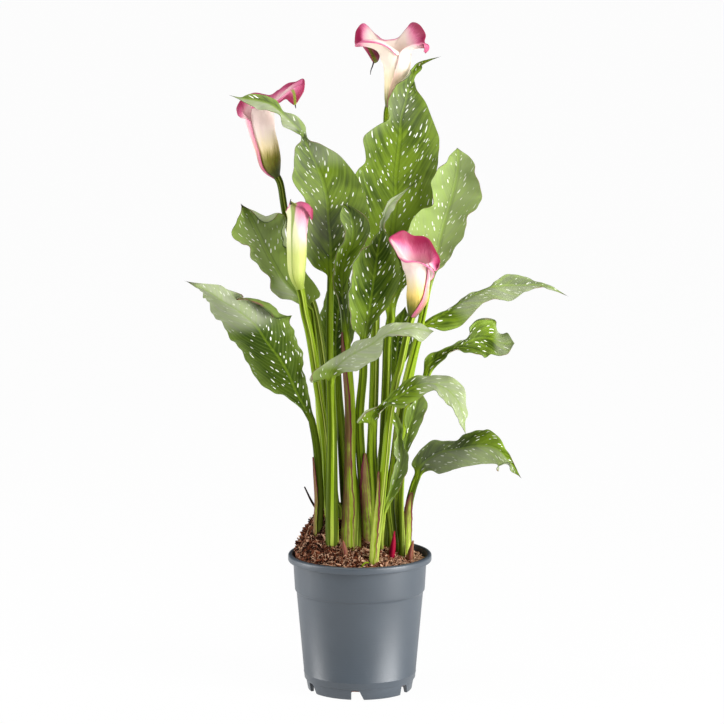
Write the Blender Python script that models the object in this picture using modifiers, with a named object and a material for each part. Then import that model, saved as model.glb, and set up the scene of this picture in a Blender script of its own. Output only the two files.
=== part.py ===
"""Potted calla lily in a nursery pot.

Dimensions are in millimetres from the pot's axis at floor level, and become metres when a mesh is made.
The objects then stand at POT_PLACE, so that the origin is at floor level under the middle of the whole
plant. +Z is up, and the plant's front faces -Y.
"""

import math

import bmesh
import bpy
from mathutils import Matrix, Vector

MM = 0.001
GAP = 0.35
POT_PLACE = Vector((-20.5, 8.0, 0.0))

# Pot
POT_HEIGHT = 125.0
RIM_RADIUS = 65.0
RIM_INNER_RADIUS = 61.0
LIP_HEIGHT = 6.5
UPPER_WALL_RADIUS = 60.4
STEP_RADIUS = 58.9
STEP_DROP = 34.0
LOWER_WALL_TOP_RADIUS = 57.4
LOWER_WALL_BASE_RADIUS = 50.4
FOOT_HEIGHT = 10.0
FOOT_TOP_RADIUS = 48.8
FOOT_BASE_RADIUS = 47.4
FOOT_INNER_RADIUS = 44.4
WALL = 1.5
FLOOR_UNDERSIDE = 5.5
FLOOR_TOP = 7.1
TURN_STEPS = 36
NOTCH_COUNT = 6
NOTCH_TURN = math.radians(-95.0)
NOTCH_HEIGHT = 8.6
NOTCH_TOP_WIDTH = 7.5
NOTCH_BASE_WIDTH = 12.0
NOTCH_INNER_RADIUS = 39.0
NOTCH_OUTER_RADIUS = 54.0
CENTRE_DRAIN_RADIUS = 4.0
INNER_ROUND = 1.2
LIP_ROUND = 2.0
STEP_ROUND = 1.6
FOOT_ROUND = 0.5
MERGE_THRESHOLD = 0.0001

# Soil
SOIL_LEVEL = 121.5
SOIL_SLOPE = 0.05
SOIL_EDGE_RADIUS = 61.0
MOUND_HEIGHT = 41.0
MOUND_CENTRE = (-36.0, 10.0)
MOUND_SPREAD = 26.0
CROWN_HEIGHT = 10.0
CROWN_CENTRE = (2.0, -15.0)
CROWN_SPREAD = 30.0
SOIL_RINGS = (57.5, 51.0, 43.0, 34.0, 25.0, 15.0, 6.0)
SOCKET_DEPTH = 12.0
SOCKET_CLEARANCE = 0.9
SHEATHED_SOCKET_CLEARANCE = 2.0
SOCKET_HEADROOM = 14.0
SOCKET_SIDES = 10
SOCKET_TURN = math.radians(13.0)
STRAIGHT_RISE = 6.0

# Leaves, stems and flowers
RING_POINTS = 8
RINGS_PER_SPAN = 2
LAMINA_HALF_THICKNESS = 0.45
RIB_TIP_HALF_THICKNESS = 0.5
RIB_TAPER = 1.6
GROOVE_TAPER = 7.0
ROD_BEVEL_RESOLUTION = 2
SCAPE_NECK = 8.0
SPATHE_POINTS = 16
SPATHE_THICKNESS = 1.1
FLARE_RINGS = 3
FLARE_STIFFNESS = 0.45
SPADIX_SHAPE = ((0.0, 2.0), (0.15, 2.6), (0.6, 2.7), (0.9, 2.2), (1.0, 1.0))
SHEATH_COLUMNS = 5
SHEATH_ROWS = 10
SHEATH_THICKNESS = 0.8
SHEATH_CLEARANCE = 1.0
SHEATH_FLARE = 0.6
SHEATH_TAPER = 0.9
SHEATH_POINTEDNESS = 3
SHEATH_SOCKET = 8.0

# Colours (red, green, blue), roughness
POT_GREY = ((0.10, 0.12, 0.14), 0.38)
SOIL_BROWN = ((0.12, 0.05, 0.03), 0.95)
LEAF_GREEN = ((0.08, 0.19, 0.03), 0.42)
STEM_GREEN = ((0.26, 0.40, 0.05), 0.40)
SPATHE_PINK = ((0.80, 0.45, 0.50), 0.45)
SPADIX_YELLOW = ((0.80, 0.62, 0.15), 0.7)
SHEATH_PURPLE = ((0.25, 0.10, 0.10), 0.5)
SPROUT_CRIMSON = ((0.25, 0.02, 0.06), 0.45)
DRY_BROWN = ((0.06, 0.035, 0.02), 0.9)

# Every leaf is one piece: a petiole from its foot in the soil through its stem points, then a blade.
# A blade row is a place along the leaf: its left edge, its midrib and its right edge.
# thick is the petiole's radius at the soil and at the blade. A fourth number is the radius at that point.
LEAVES = {
    "leaf_upper_left": {
        "foot": (-18, 0),
        "thick": (4.2, 3.0),
        "stem": [
            (-23, 5, 173), (-26, 4, 228), (-27, -4, 321),
        ],
        "blade": [
            ((-28, -13, 377), (-26, -12, 378), (-23, -13, 379)),
            ((-39, -17, 386), (-26, -13, 390), (-11, -15, 387)),
            ((-48, -22, 404), (-26, -15, 410), (1, -17, 407)),
            ((-46, -22, 427), (-28, -17, 429), (7, -18, 429)),
            ((-48, -23, 448), (-29, -19, 448), (6, -20, 447)),
            ((-58, -26, 465), (-33, -20, 466), (1, -22, 463)),
            ((-58, -27, 480), (-38, -21, 479), (-13, -23, 483)),
            ((-57, -27, 493), (-43, -22, 490), (-29, -24, 495)),
            ((-51, -26, 503), (-49, -24, 504), (-46, -26, 505)),
            ((-57, -28, 510), (-54, -27, 512), (-48, -22, 514)),
            ((-67, -32, 515), (-60, -29, 518), (-54, -24, 522)),
            ((-69, -33, 523), (-68, -31, 526), (-67, -29, 527)),
            ((-79, -36, 529), (-78, -33, 534), (-74, -31, 538)),
            ((-91, -38, 532), (-91, -35, 538), (-91, -33, 543)),
            ((-102, -37, 537), (-104, -36, 540), (-105, -35, 541)),
        ],
        "tip": (-115, -36, 543),
    },
    "leaf_top": {
        "foot": (21, 4),
        "thick": (4.6, 4.0),
        "stem": [
            (21, 4, 173), (22, 4, 228), (24, 4, 286), (25, 5, 319),
        ],
        "blade": [
            ((24, 5, 339), (28, 6, 339), (30, 5, 341)),
            ((15, 2, 358), (28, 5, 359), (38, 2, 364)),
            ((3, 0, 387), (28, 4, 385), (52, 0, 383)),
            ((-6, -2, 414), (29, 4, 414), (62, -2, 412)),
            ((-9, -1, 443), (32, 7, 443), (64, 1, 443)),
            ((-4, 4, 469), (32, 11, 465), (67, 5, 467)),
            ((6, 11, 481), (34, 15, 483), (70, 10, 485)),
            ((4, 12, 502), (36, 19, 501), (70, 15, 501)),
            ((25, 19, 516), (37, 23, 517), (64, 20, 518)),
            ((25, 23, 529), (41, 28, 531), (58, 26, 532)),
            ((32, 28, 544), (44, 32, 543), (51, 31, 542)),
            ((41, 33, 552), (48, 35, 551), (49, 36, 551)),
            ((48, 38, 559), (52, 37, 560), (54, 36, 560)),
            ((55, 37, 567), (58, 36, 567), (58, 35, 565)),
        ],
        "tip": (73, 32, 572),
    },
    "leaf_upper_right": {
        "foot": (31, -8),
        "thick": (4.2, 3.2),
        "stem": [
            (27, -8, 175), (31, -8, 212), (38, -8, 267), (51, -7, 321), (56, -6, 343),
        ],
        "blade": [
            ((57, -6, 365), (60, -5, 364), (63, -6, 366)),
            ((52, -10, 379), (64, -7, 382), (69, -10, 383)),
            ((45, -14, 398), (69, -9, 399), (79, -14, 396)),
            ((42, -15, 418), (72, -9, 414), (91, -16, 414)),
            ((50, -13, 434), (76, -7, 429), (94, -15, 430)),
            ((64, -9, 443), (80, -4, 442), (105, -14, 442)),
            ((64, -7, 458), (84, 0, 456), (107, -9, 456)),
            ((69, -2, 473), (87, 4, 470), (103, -3, 472)),
            ((77, 3, 481), (88, 7, 480), (99, 3, 482)),
            ((83, 8, 488), (88, 9, 488), (92, 8, 488)),
        ],
        "tip": (87, 10, 492),
    },
    "leaf_mid_left": {
        "foot": (-33, 12),
        "thick": (3.8, 2.8),
        "stem": [
            (-31, 10, 172), (-35, 6, 228), (-38, 0, 284), (-41, -6, 321),
        ],
        "blade": [
            ((-45, -10, 347), (-44, -10, 348), (-41, -11, 350)),
            ((-60, -14, 357), (-56, -11, 362), (-34, -14, 360)),
            ((-76, -17, 366), (-68, -10, 375), (-48, -12, 383)),
            ((-87, -16, 386), (-77, -8, 390), (-62, -10, 401)),
            ((-98, -14, 403), (-85, -5, 405), (-66, -8, 415)),
            ((-110, -13, 412), (-92, -2, 419), (-71, -6, 434)),
            ((-109, -10, 430), (-98, 0, 431), (-85, -8, 435)),
        ],
        "tip": (-106, -8, 444),
    },
    "leaf_centre_hood": {
        "foot": (-7.5, -22),
        "thick": (9.0, 3.6),
        "stem": [
            (-7, -22, 160, 8.3), (-7, -22, 180, 7.2), (-8, -22, 206, 5.0), (-8, -22, 233, 4.2),
            (-8, -22, 265, 3.9), (-10, -23, 296, 3.7),
        ],
        "blade": [
            ((-14, -25, 324), (-12, -24, 324), (-10, -25, 326)),
            ((-16, -29, 348), (-14, -27, 347), (-10, -29, 353)),
            ((-22, -33, 370), (-16, -29, 368), (-11, -33, 370)),
            ((-23, -36, 386), (-16, -31, 386), (-8, -35, 386)),
            ((-21, -38, 401), (-12, -31, 400), (-2, -37, 401)),
            ((-14, -39, 414), (-7, -31, 412), (5, -36, 413)),
            ((-14, -38, 425), (-6, -30, 425), (8, -36, 426)),
            ((-17, -35, 435), (-8, -29, 435), (3, -34, 437)),
            ((-16, -31, 441), (-11, -28, 442), (-7, -31, 444)),
        ],
        "tip": (-15, -27, 446),
    },
    "leaf_centre_front": {
        "foot": (6, -8),
        "thick": (5.0, 3.5),
        "stem": [
            (4, -10, 176), (0, -12, 231), (0, -18, 260), (3, -27, 294),
        ],
        "blade": [
            ((0, -31, 323), (3, -30, 323), (6, -31, 325)),
            ((-5, -38, 334), (6, -34, 333), (10, -37, 333)),
            ((-8, -44, 348), (8, -38, 347), (16, -43, 347)),
            ((-9, -48, 364), (10, -41, 363), (28, -48, 363)),
            ((-8, -50, 379), (12, -42, 378), (35, -51, 380)),
            ((-5, -50, 394), (14, -42, 393), (35, -51, 395)),
            ((2, -48, 408), (16, -41, 407), (31, -49, 408)),
            ((10, -44, 414), (18, -39, 417), (25, -45, 418)),
            ((18, -40, 423), (20, -38, 424), (22, -41, 424)),
            ((19, -36, 433), (21, -34, 433), (25, -37, 434)),
            ((21, -31, 440), (25, -29, 443), (29, -32, 442)),
            ((28, -27, 450), (32, -25, 451), (35, -26, 450)),
        ],
        "tip": (49, -20, 464),
    },
    "leaf_front_bent": {
        "foot": (-24.8, -24.5),
        "thick": (6.2, 3.9),
        "stem": [
            (-25, -25, 159, 5.9), (-25, -26, 196, 5.3), (-25, -28, 243, 4.6), (-26, -31, 275, 4.1),
        ],
        "blade": [
            ((-29, -33, 288), (-26, -33, 290), (-22, -33, 292)),
            ((-43, -34, 288), (-25, -36, 295), (-19, -37, 294)),
            ((-37, -40, 301), (-21, -41, 302), (-14, -43, 298)),
            ((-15, -46, 316), (-11, -50, 312), (-3, -54, 301)),
            ((-3, -52, 326), (-1, -57, 319), (7, -63, 309)),
            ((10, -58, 331), (11, -62, 326), (18, -68, 317)),
            ((20, -62, 341), (21, -66, 334), (23, -71, 333)),
            ((34, -64, 345), (34, -68, 339), (35, -73, 336)),
            ((46, -64, 345), (47, -68, 341), (47, -73, 333)),
            ((55, -64, 343), (56, -67, 339), (55, -71, 330)),
        ],
        "tip": (65, -66, 338),
    },
    "leaf_lower_left": {
        "foot": (-37, -12),
        "thick": (4.0, 3.2),
        "stem": [
            (-36, -14, 177), (-37, -15, 200), (-39, -17, 227),
        ],
        "blade": [
            ((-45, -19, 249), (-43, -18, 250), (-40, -19, 252)),
            ((-53, -22, 262), (-49, -21, 262), (-44, -22, 267)),
            ((-69, -26, 274), (-56, -27, 276), (-48, -25, 284)),
            ((-90, -31, 287), (-64, -35, 296), (-51, -27, 304)),
            ((-99, -38, 307), (-72, -42, 311), (-54, -30, 320)),
            ((-109, -47, 323), (-82, -51, 326), (-61, -37, 336)),
            ((-119, -57, 340), (-92, -61, 343), (-74, -47, 354)),
            ((-129, -69, 356), (-106, -73, 357), (-86, -58, 364)),
            ((-134, -84, 370), (-120, -86, 368), (-105, -74, 368)),
            ((-138, -98, 378), (-133, -99, 379), (-122, -90, 382)),
        ],
        "tip": (-151, -112, 389),
    },
    "leaf_front_right": {
        "foot": (13, -28),
        "thick": (4.0, 3.4),
        "stem": [
            (14, -29, 160), (14, -30, 188), (12, -32, 220),
        ],
        "blade": [
            ((10, -37, 249), (12, -36, 250), (15, -37, 251)),
            ((-2, -43, 252), (12, -40, 257), (15, -42, 255)),
            ((6, -48, 263), (18, -46, 265), (20, -50, 264)),
            ((23, -52, 274), (25, -54, 273), (26, -56, 271)),
            ((32, -52, 285), (35, -58, 279), (37, -63, 269)),
            ((46, -54, 294), (47, -61, 287), (49, -67, 277)),
            ((61, -56, 297), (61, -63, 291), (62, -70, 286)),
            ((78, -58, 296), (75, -65, 287), (71, -72, 281)),
            ((92, -62, 286), (85, -69, 278), (79, -76, 274)),
            ((94, -68, 267), (90, -73, 267), (85, -78, 264)),
            ((92, -73, 258), (92, -75, 257), (89, -78, 257)),
        ],
        "tip": (93, -78, 248),
    },
    "leaf_right_long": {
        "foot": (33, 6),
        "thick": (4.0, 2.8),
        "stem": [
            (33, 6, 172), (35, 6, 209), (42, 6, 264), (50, 5, 308),
        ],
        "blade": [
            ((56, 4, 336), (57, 3, 332), (59, 2, 331)),
            ((66, 6, 341), (67, 4, 338), (72, 0, 328)),
            ((78, 12, 345), (78, 10, 344), (89, 4, 332)),
            ((89, 21, 352), (90, 18, 351), (102, 11, 343)),
            ((103, 31, 359), (104, 28, 357), (111, 21, 351)),
            ((118, 40, 363), (117, 37, 362), (124, 29, 353)),
            ((132, 51, 372), (132, 46, 363), (138, 39, 351)),
            ((145, 60, 370), (148, 55, 362), (150, 50, 357)),
            ((162, 68, 364), (163, 65, 361), (163, 62, 359)),
            ((176, 74, 358), (176, 73, 357), (175, 71, 356)),
        ],
        "tip": (192, 82, 348),
    },
    "leaf_right_rounded": {
        "foot": (28, 19),
        "thick": (3.8, 3.4),
        "stem": [
            (30, 18, 170), (36, 17, 216), (45, 16, 254), (54, 14, 272),
        ],
        "blade": [
            ((57, 12, 286), (60, 12, 285), (64, 12, 285)),
            ((58, 16, 298), (64, 14, 296), (71, 12, 296)),
            ((66, 24, 305), (73, 20, 302), (80, 16, 305)),
            ((83, 33, 309), (85, 28, 308), (91, 22, 307)),
            ((97, 42, 316), (97, 36, 312), (104, 28, 304)),
            ((106, 51, 328), (108, 43, 315), (113, 33, 299)),
            ((120, 57, 328), (119, 47, 314), (120, 35, 303)),
            ((127, 58, 318), (126, 47, 311), (128, 36, 300)),
            ((135, 56, 318), (134, 47, 309), (135, 38, 302)),
        ],
        "tip": (141, 47, 310),
    },
    "leaf_right_low": {
        "foot": (42, -2),
        "thick": (4.0, 3.2),
        "stem": [
            (44, -3, 166), (48, -6, 186),
        ],
        "blade": [
            ((48, -10, 200), (52, -10, 198), (55, -11, 196)),
            ((46, -14, 208), (56, -15, 209), (65, -18, 204)),
            ((54, -17, 222), (64, -22, 217), (72, -29, 204)),
            ((68, -19, 232), (75, -30, 224), (83, -41, 210)),
            ((87, -24, 233), (88, -40, 228), (95, -52, 215)),
            ((101, -34, 243), (100, -50, 232), (108, -62, 219)),
            ((113, -45, 246), (112, -58, 234), (117, -71, 221)),
            ((123, -56, 241), (122, -66, 232), (121, -78, 222)),
            ((131, -66, 230), (130, -73, 225), (128, -82, 222)),
            ((136, -76, 221), (136, -79, 218), (134, -83, 216)),
        ],
        "tip": (142, -84, 210),
    },
    "leaf_small_right": {
        "foot": (38, -15),
        "thick": (3.0, 2.2),
        "stem": [
            (37, -14, 177),
        ],
        "blade": [
            ((37, -15, 212), (39, -14, 211), (41, -15, 212)),
            ((38, -17, 226), (41, -15, 226), (45, -17, 225)),
            ((41, -18, 241), (44, -16, 241), (52, -19, 242)),
            ((42, -19, 259), (48, -16, 255), (58, -20, 255)),
            ((48, -18, 268), (51, -16, 266), (60, -19, 266)),
        ],
        "tip": (55, -16, 276),
    },
    "leaf_narrow_rolled": {
        "foot": (18, -14),
        "thick": (3.5, 2.6),
        "stem": [
            (19, -18, 150),
        ],
        "blade": [
            ((20, -24, 168), (21, -23, 166), (24, -24, 166)),
            ((27, -28, 191), (28, -24, 187), (32, -28, 184)),
            ((31, -29, 211), (34, -24, 204), (41, -29, 202)),
            ((31, -29, 223), (37, -24, 220), (42, -29, 221)),
            ((32, -28, 238), (36, -25, 237), (38, -28, 236)),
            ((30, -27, 250), (31, -26, 253), (35, -27, 254)),
        ],
        "tip": (25, -26, 265),
    },
    "leaf_back_left": {
        "foot": (-9, 13),
        "thick": (6.0, 3.3),
        "stem": [
            (-12, 16, 170), (-16, 20, 225), (-19, 24, 261),
        ],
        "blade": [
            ((-22, 26, 284), (-20, 26, 284), (-18, 26, 284)),
            ((-32, 29, 297), (-22, 32, 297), (-11, 29, 297)),
            ((-37, 36, 316), (-22, 42, 314), (-7, 36, 315)),
            ((-35, 49, 338), (-20, 55, 335), (-4, 49, 336)),
            ((-29, 64, 356), (-17, 70, 354), (-6, 64, 355)),
        ],
        "tip": (-14, 86, 380),
    },
    "leaf_back_right": {
        "foot": (14, 24),
        "thick": (5.0, 3.2),
        "stem": [
            (16, 27, 168), (22, 32, 223), (28, 40, 259),
        ],
        "blade": [
            ((30, 45, 276), (32, 45, 276), (34, 45, 276)),
            ((24, 50, 292), (33, 52, 292), (42, 50, 292)),
            ((23, 60, 309), (35, 64, 308), (47, 60, 309)),
            ((27, 75, 323), (38, 79, 322), (48, 75, 323)),
        ],
        "tip": (42, 96, 337),
    },
}

# Every flower is a scape, a spathe rolled into a funnel, and in an open one a spadix.
# A tube point is the funnel's centre and radius there, from its base up. The rim runs clockwise
# seen from above, from the front.
FLOWERS = {
    "left": {
        "foot": (-20, 14),
        "thick": (3.9, 3.1),
        "stem": [
            (-24, 14, 171), (-28, 14, 226), (-31, 12, 273), (-33, 11, 300), (-40, 9, 344),
            (-47, 8, 364), (-55, 6, 390), (-66, 3, 432),
        ],
        "tube": [
            (-74, 0, 467, 3.8), (-79, -1, 478, 9.2), (-82, -2, 492, 10.4), (-86, -3, 506, 11.2),
            (-88, -3, 517, 12.6),
        ],
        "rim": [
            (-86, -18, 525), (-100, -14, 520), (-110, -5, 525), (-107, 5, 534), (-94, 12, 540),
            (-82, 13, 538), (-67, 10, 547), (-51, 2, 551), (-56, -8, 534), (-70, -15, 529),
        ],
        "spadix": 34,
    },
    "top": {
        "foot": (8, 10),
        "thick": (4.8, 3.2),
        "stem": [
            (8, 10, 172), (11, 10, 227), (13, 10, 282), (14, 13, 336), (16, 24, 380), (21, 36, 433),
            (24, 44, 487),
        ],
        "tube": [
            (26, 48, 525, 3.8), (29, 48, 540, 7.4), (32, 47, 552, 10.6), (33, 46, 563, 12.4),
            (32, 45, 571, 14.0),
        ],
        "rim": [
            (30, 27, 576), (12, 30, 584), (-3, 42, 582), (2, 54, 598), (16, 60, 587), (29, 62, 585),
            (42, 59, 593), (52, 51, 600), (61, 42, 581), (41, 29, 572),
        ],
        "spadix": 34,
    },
    "right": {
        "foot": (13.5, -42),
        "thick": (3.8, 3.3),
        "stem": [
            (19, -40, 181), (21, -40, 201), (23, -40, 222), (26, -41, 254), (32, -42, 289),
            (36, -43, 304), (42, -47, 334),
        ],
        "tube": [
            (46, -50, 349, 4.2), (50, -52, 364, 9.2), (51, -53, 376, 9.7), (51, -54, 387, 11.0),
            (50, -54, 394, 12.6),
        ],
        "rim": [
            (47, -71, 400), (37, -68, 401), (30, -62, 409), (26, -54, 417), (37, -44, 422),
            (48, -39, 420), (58, -40, 414), (68, -45, 404), (70, -53, 394), (61, -65, 391),
        ],
        "spadix": 34,
    },
    "bud": {
        "foot": (-28, -4),
        "thick": (4.0, 3.6),
        "stem": [
            (-29, -7, 175), (-30, -10, 216), (-33, -12, 248), (-37, -14, 275), (-44, -22, 324),
            (-49, -27, 348),
        ],
        "tube": [
            (-53, -31, 371, 4.0), (-56, -33, 386, 7.6), (-56, -34, 404, 8.8), (-56, -35, 422, 8.9),
            (-55, -35, 432, 9.2),
        ],
        "rim": [
            (-53, -44, 439), (-60, -43, 440), (-63, -39, 444), (-62, -34, 448), (-56, -29, 447),
            (-51, -27, 447), (-46, -29, 445), (-42, -34, 440), (-45, -40, 435), (-48, -43, 434),
        ],
        "spadix": 0,
    },
}

# Papery sheath leaves wrapped part way round a stem: the stem, the height of the tip above the soil,
# the angle wrapped and the compass angle of its middle, both in degrees.
SHEATHS = {
    "sheath_centre": {"holds": "leaf_centre_hood", "tip": 190, "wrap": 130, "facing": 255},
    "sheath_right_flower": {"holds": "scape_right", "tip": 82, "wrap": 170, "facing": 200},
    "sheath_centre_back": {"holds": "leaf_centre_front", "tip": 80, "wrap": 190, "facing": 310},
    "sheath_right": {"holds": "leaf_right_low", "tip": 60, "wrap": 150, "facing": 265},
    "sheath_left": {"holds": "leaf_lower_left", "tip": 66, "wrap": 120, "facing": 235},
}

# Young shoots and a dry stick, each a tapering rod: its foot, then its points and radii above the soil.
SHOOTS = {
    "sprout_crimson": {"foot": (29, -23), "rise": [(0, 0, 2, 2.6), (1, -1, 12, 2.3), (2, -2, 24, 0.5)]},
    "sprout_purple": {"foot": (-13, -38), "rise": [(0, 0, 2, 2.4), (-1, 0, 7, 1.9), (-2, 0, 13, 0.5)]},
    "sprout_papery": {"foot": (45, -20), "rise": [(0, 0, 2, 3.0), (1, 0, 10, 2.4), (3, 1, 19, 0.6)]},
    "dry_stick": {"foot": (-38, 1), "rise": [(0, 0, 3, 1.1), (-6, -1, 14, 1.0), (-12, -2, 27, 0.6)]},
}
SHOOT_FINISHES = {
    "sprout_crimson": SPROUT_CRIMSON,
    "sprout_purple": SHEATH_PURPLE,
    "sprout_papery": SHEATH_PURPLE,
    "dry_stick": DRY_BROWN,
}
SHOOT_SOCKET_DEPTH = 6.0


def clear_scene():
    """Remove whatever the scene holds."""
    for old in list(bpy.data.objects):
        bpy.data.objects.remove(old, do_unlink=True)


def new_collection(name):
    """A collection linked to the scene."""
    collection = bpy.data.collections.new(name)
    bpy.context.scene.collection.children.link(collection)
    return collection


def new_material(name, finish):
    """A Principled material from a colour and a roughness."""
    colour, roughness = finish
    material = bpy.data.materials.new(name)
    material.use_nodes = True
    shader = material.node_tree.nodes["Principled BSDF"]
    shader.inputs["Base Color"].default_value = (*colour, 1.0)
    shader.inputs["Roughness"].default_value = roughness
    shader.inputs["Metallic"].default_value = 0.0
    return material


def new_object(name, data, collection, finish):
    """An object in the collection, smooth, with its own material."""
    obj = bpy.data.objects.new(name, data)
    obj.location = POT_PLACE * MM
    collection.objects.link(obj)
    data.materials.append(new_material(name, finish))
    if isinstance(data, bpy.types.Mesh):
        data.shade_smooth()
    return obj


def mesh_from(bm, name):
    """A mesh in metres from a bmesh in millimetres, its faces pointing out."""
    bmesh.ops.transform(bm, matrix=Matrix.Scale(MM, 4), verts=bm.verts)
    mesh = bpy.data.meshes.new(name)
    bm.to_mesh(mesh)
    bm.free()
    return mesh


def spline_at(points, place):
    """The smooth curve through points at a place counted in points, from 0 to len(points) - 1."""
    index = min(int(place), len(points) - 2)
    share = place - index
    before = points[max(index - 1, 0)]
    start, end = points[index], points[index + 1]
    after = points[min(index + 2, len(points) - 1)]
    linear = (end - before) * 0.5
    square = before - start * 2.5 + end * 2.0 - after * 0.5
    cube = (start - end) * 1.5 + (after - before) * 0.5
    return start + linear * share + square * share**2 + cube * share**3


def resample(points, rings_per_span):
    """Points along the smooth curve, a fixed number for each span."""
    spans = len(points) - 1
    return [spline_at(points, k / rings_per_span) for k in range(spans * rings_per_span + 1)]


def direction_at(points, index):
    """The unit direction of a row of points at one of them."""
    ahead = points[min(index + 1, len(points) - 1)]
    behind = points[max(index - 1, 0)]
    return (ahead - behind).normalized()


def loft(rings, end_point=None):
    """Quads between rings of points, with a cap at the start and a cap or a point at the end."""
    bm = bmesh.new()
    rows = [[bm.verts.new(point) for point in ring] for ring in rings]
    count = len(rings[0])
    for lower, upper in zip(rows, rows[1:]):
        for k in range(count):
            after = (k + 1) % count
            bm.faces.new((lower[k], lower[after], upper[after], upper[k]))
    bm.faces.new(reversed(rows[0]))
    if end_point is None:
        bm.faces.new(rows[-1])
    else:
        tip = bm.verts.new(end_point)
        for k in range(count):
            bm.faces.new((rows[-1][k], rows[-1][(k + 1) % count], tip))
    if bm.calc_volume(signed=True) < 0.0:
        bmesh.ops.reverse_faces(bm, faces=bm.faces)
    return bm


def hump(x, y, centre, spread):
    """A smooth hump of height one in plan."""
    return math.exp(-((x - centre[0]) ** 2 + (y - centre[1]) ** 2) / (2.0 * spread**2))


def soil_height(x, y):
    """Height of the soil's surface at a place in plan."""
    inside = max(0.0, 1.0 - (math.hypot(x, y) / SOIL_EDGE_RADIUS) ** 4)
    mound = MOUND_HEIGHT * hump(x, y, MOUND_CENTRE, MOUND_SPREAD)
    crown = CROWN_HEIGHT * hump(x, y, CROWN_CENTRE, CROWN_SPREAD)
    return SOIL_LEVEL - SOIL_SLOPE * x + inside * (mound + crown)


def stem_path(foot, thick, points, top, socket=SOCKET_DEPTH):
    """A stem from its socket in the soil to its top, as (x, y, z, radius) points."""
    x, y = foot
    ground = soil_height(x, y)
    places = [(x, y, ground - socket + GAP), (x, y, ground + STRAIGHT_RISE), *points, *top]
    height = places[-1][2] - ground
    path = []
    for place in places:
        share = max(0.0, (place[2] - ground) / height)
        radius = thick[0] + (thick[1] - thick[0]) * share
        path.append(Vector((*place[:3], place[3] if len(place) > 3 else radius)))
    return resample(path, RINGS_PER_SPAN)


def stem_rings(path, side):
    """Round sections along a stem, the first point of each towards -side."""
    centres = [point.xyz for point in path]
    rings = []
    for index, point in enumerate(path):
        along = direction_at(centres, index)
        across = (side - along * side.dot(along)).normalized()
        outward = across.cross(along)
        ring = []
        for k in range(RING_POINTS):
            turn = math.tau * k / RING_POINTS
            ring.append(centres[index] + (outward * math.sin(turn) - across * math.cos(turn)) * point.w)
        rings.append(ring)
    return rings


def halfway(edge, mid, other):
    """The point of the blade halfway from its edge to its midrib, on a fair curve through the three."""
    straight = (edge + mid) * 0.5
    curved = mid * 0.75 + edge * 0.375 - other * 0.125
    reach, far = (edge - mid).length, (other - mid).length
    return straight.lerp(curved, min(reach, far) / max(reach, far))


def blade_rings(rows, stem_radius):
    """Lens-shaped sections along a blade, thick at the midrib and sharp at the edges."""
    mids = [row[1] for row in rows]
    rings = []
    for index, (left, mid, right) in enumerate(rows):
        along = direction_at(mids, index)
        normal = (right - left).cross(along).normalized()
        share = index / (len(rows) - 1)
        rib = stem_radius + (RIB_TIP_HALF_THICKNESS - stem_radius) * min(1.0, share * RIB_TAPER)
        groove = stem_radius + (RIB_TIP_HALF_THICKNESS - stem_radius) * min(1.0, share * GROOVE_TAPER)
        lamina = normal * LAMINA_HALF_THICKNESS
        near_left = halfway(left, mid, right)
        near_right = halfway(right, mid, left)
        rings.append([
            left, near_left + lamina, mid + normal * groove, near_right + lamina,
            right, near_right - lamina, mid - normal * rib, near_left - lamina,
        ])
    return rings


def build_leaf(name, leaf, collection):
    """A whole leaf: petiole and blade in one piece."""
    stations = [tuple(Vector(place) for place in row) for row in leaf["blade"]]
    tip = Vector(leaf["tip"])
    rails = [resample([row[rail] for row in stations] + [tip], RINGS_PER_SPAN)[1:-1] for rail in range(3)]
    rows = list(zip(*rails))
    base = stations[0][1]
    path = stem_path(leaf["foot"], leaf["thick"], leaf["stem"], [tuple(base)])
    side = (stations[1][2] - stations[1][0]).normalized()
    rings = stem_rings(path, side) + blade_rings(rows, leaf["thick"][1])
    return new_object(name, mesh_from(loft(rings, tip), name), collection, LEAF_GREEN)


def tapered_rod(name, path, collection, finish):
    """A rod through (x, y, z, radius) points, with flat ends."""
    curve = bpy.data.curves.new(name, "CURVE")
    curve.dimensions = "3D"
    curve.bevel_depth = MM
    curve.bevel_resolution = ROD_BEVEL_RESOLUTION
    curve.use_fill_caps = True
    spline = curve.splines.new("POLY")
    spline.points.add(len(path) - 1)
    for spot, point in zip(spline.points, path):
        spot.co = (*(point.xyz * MM), 1.0)
        spot.radius = point.w
    return new_object(name, curve, collection, finish)


def funnel_tube(flower):
    """The funnel's centres and radii from its base up."""
    return resample([Vector(point) for point in flower["tube"]], RINGS_PER_SPAN)


def build_scape(name, flower, collection):
    """The flower's stem, ending under its spathe."""
    centres = [point.xyz for point in funnel_tube(flower)]
    base, axis = centres[0], direction_at(centres, 0)
    neck = tuple(base - axis * SCAPE_NECK)
    path = stem_path(flower["foot"], flower["thick"], flower["stem"], [neck])
    path.append(Vector((*(base - axis * GAP), flower["thick"][1])))
    return tapered_rod(name, path, collection, STEM_GREEN)


def funnel_ring(centre, axis, radius):
    """A round section of the funnel, clockwise seen from above, from the front."""
    back = (Vector((0.0, 1.0, 0.0)) - axis * axis.y).normalized()
    left = back.cross(axis) * -1.0
    ring = []
    for k in range(SPATHE_POINTS):
        turn = math.tau * k / SPATHE_POINTS
        ring.append(centre + (left * math.sin(turn) - back * math.cos(turn)) * radius)
    return ring


def closed_spline_at(points, place):
    """The smooth closed curve through points, at a place counted in points."""
    around = [points[k % len(points)] for k in range(-2, len(points) + 3)]
    return spline_at(around, place % len(points) + 2)


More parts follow.
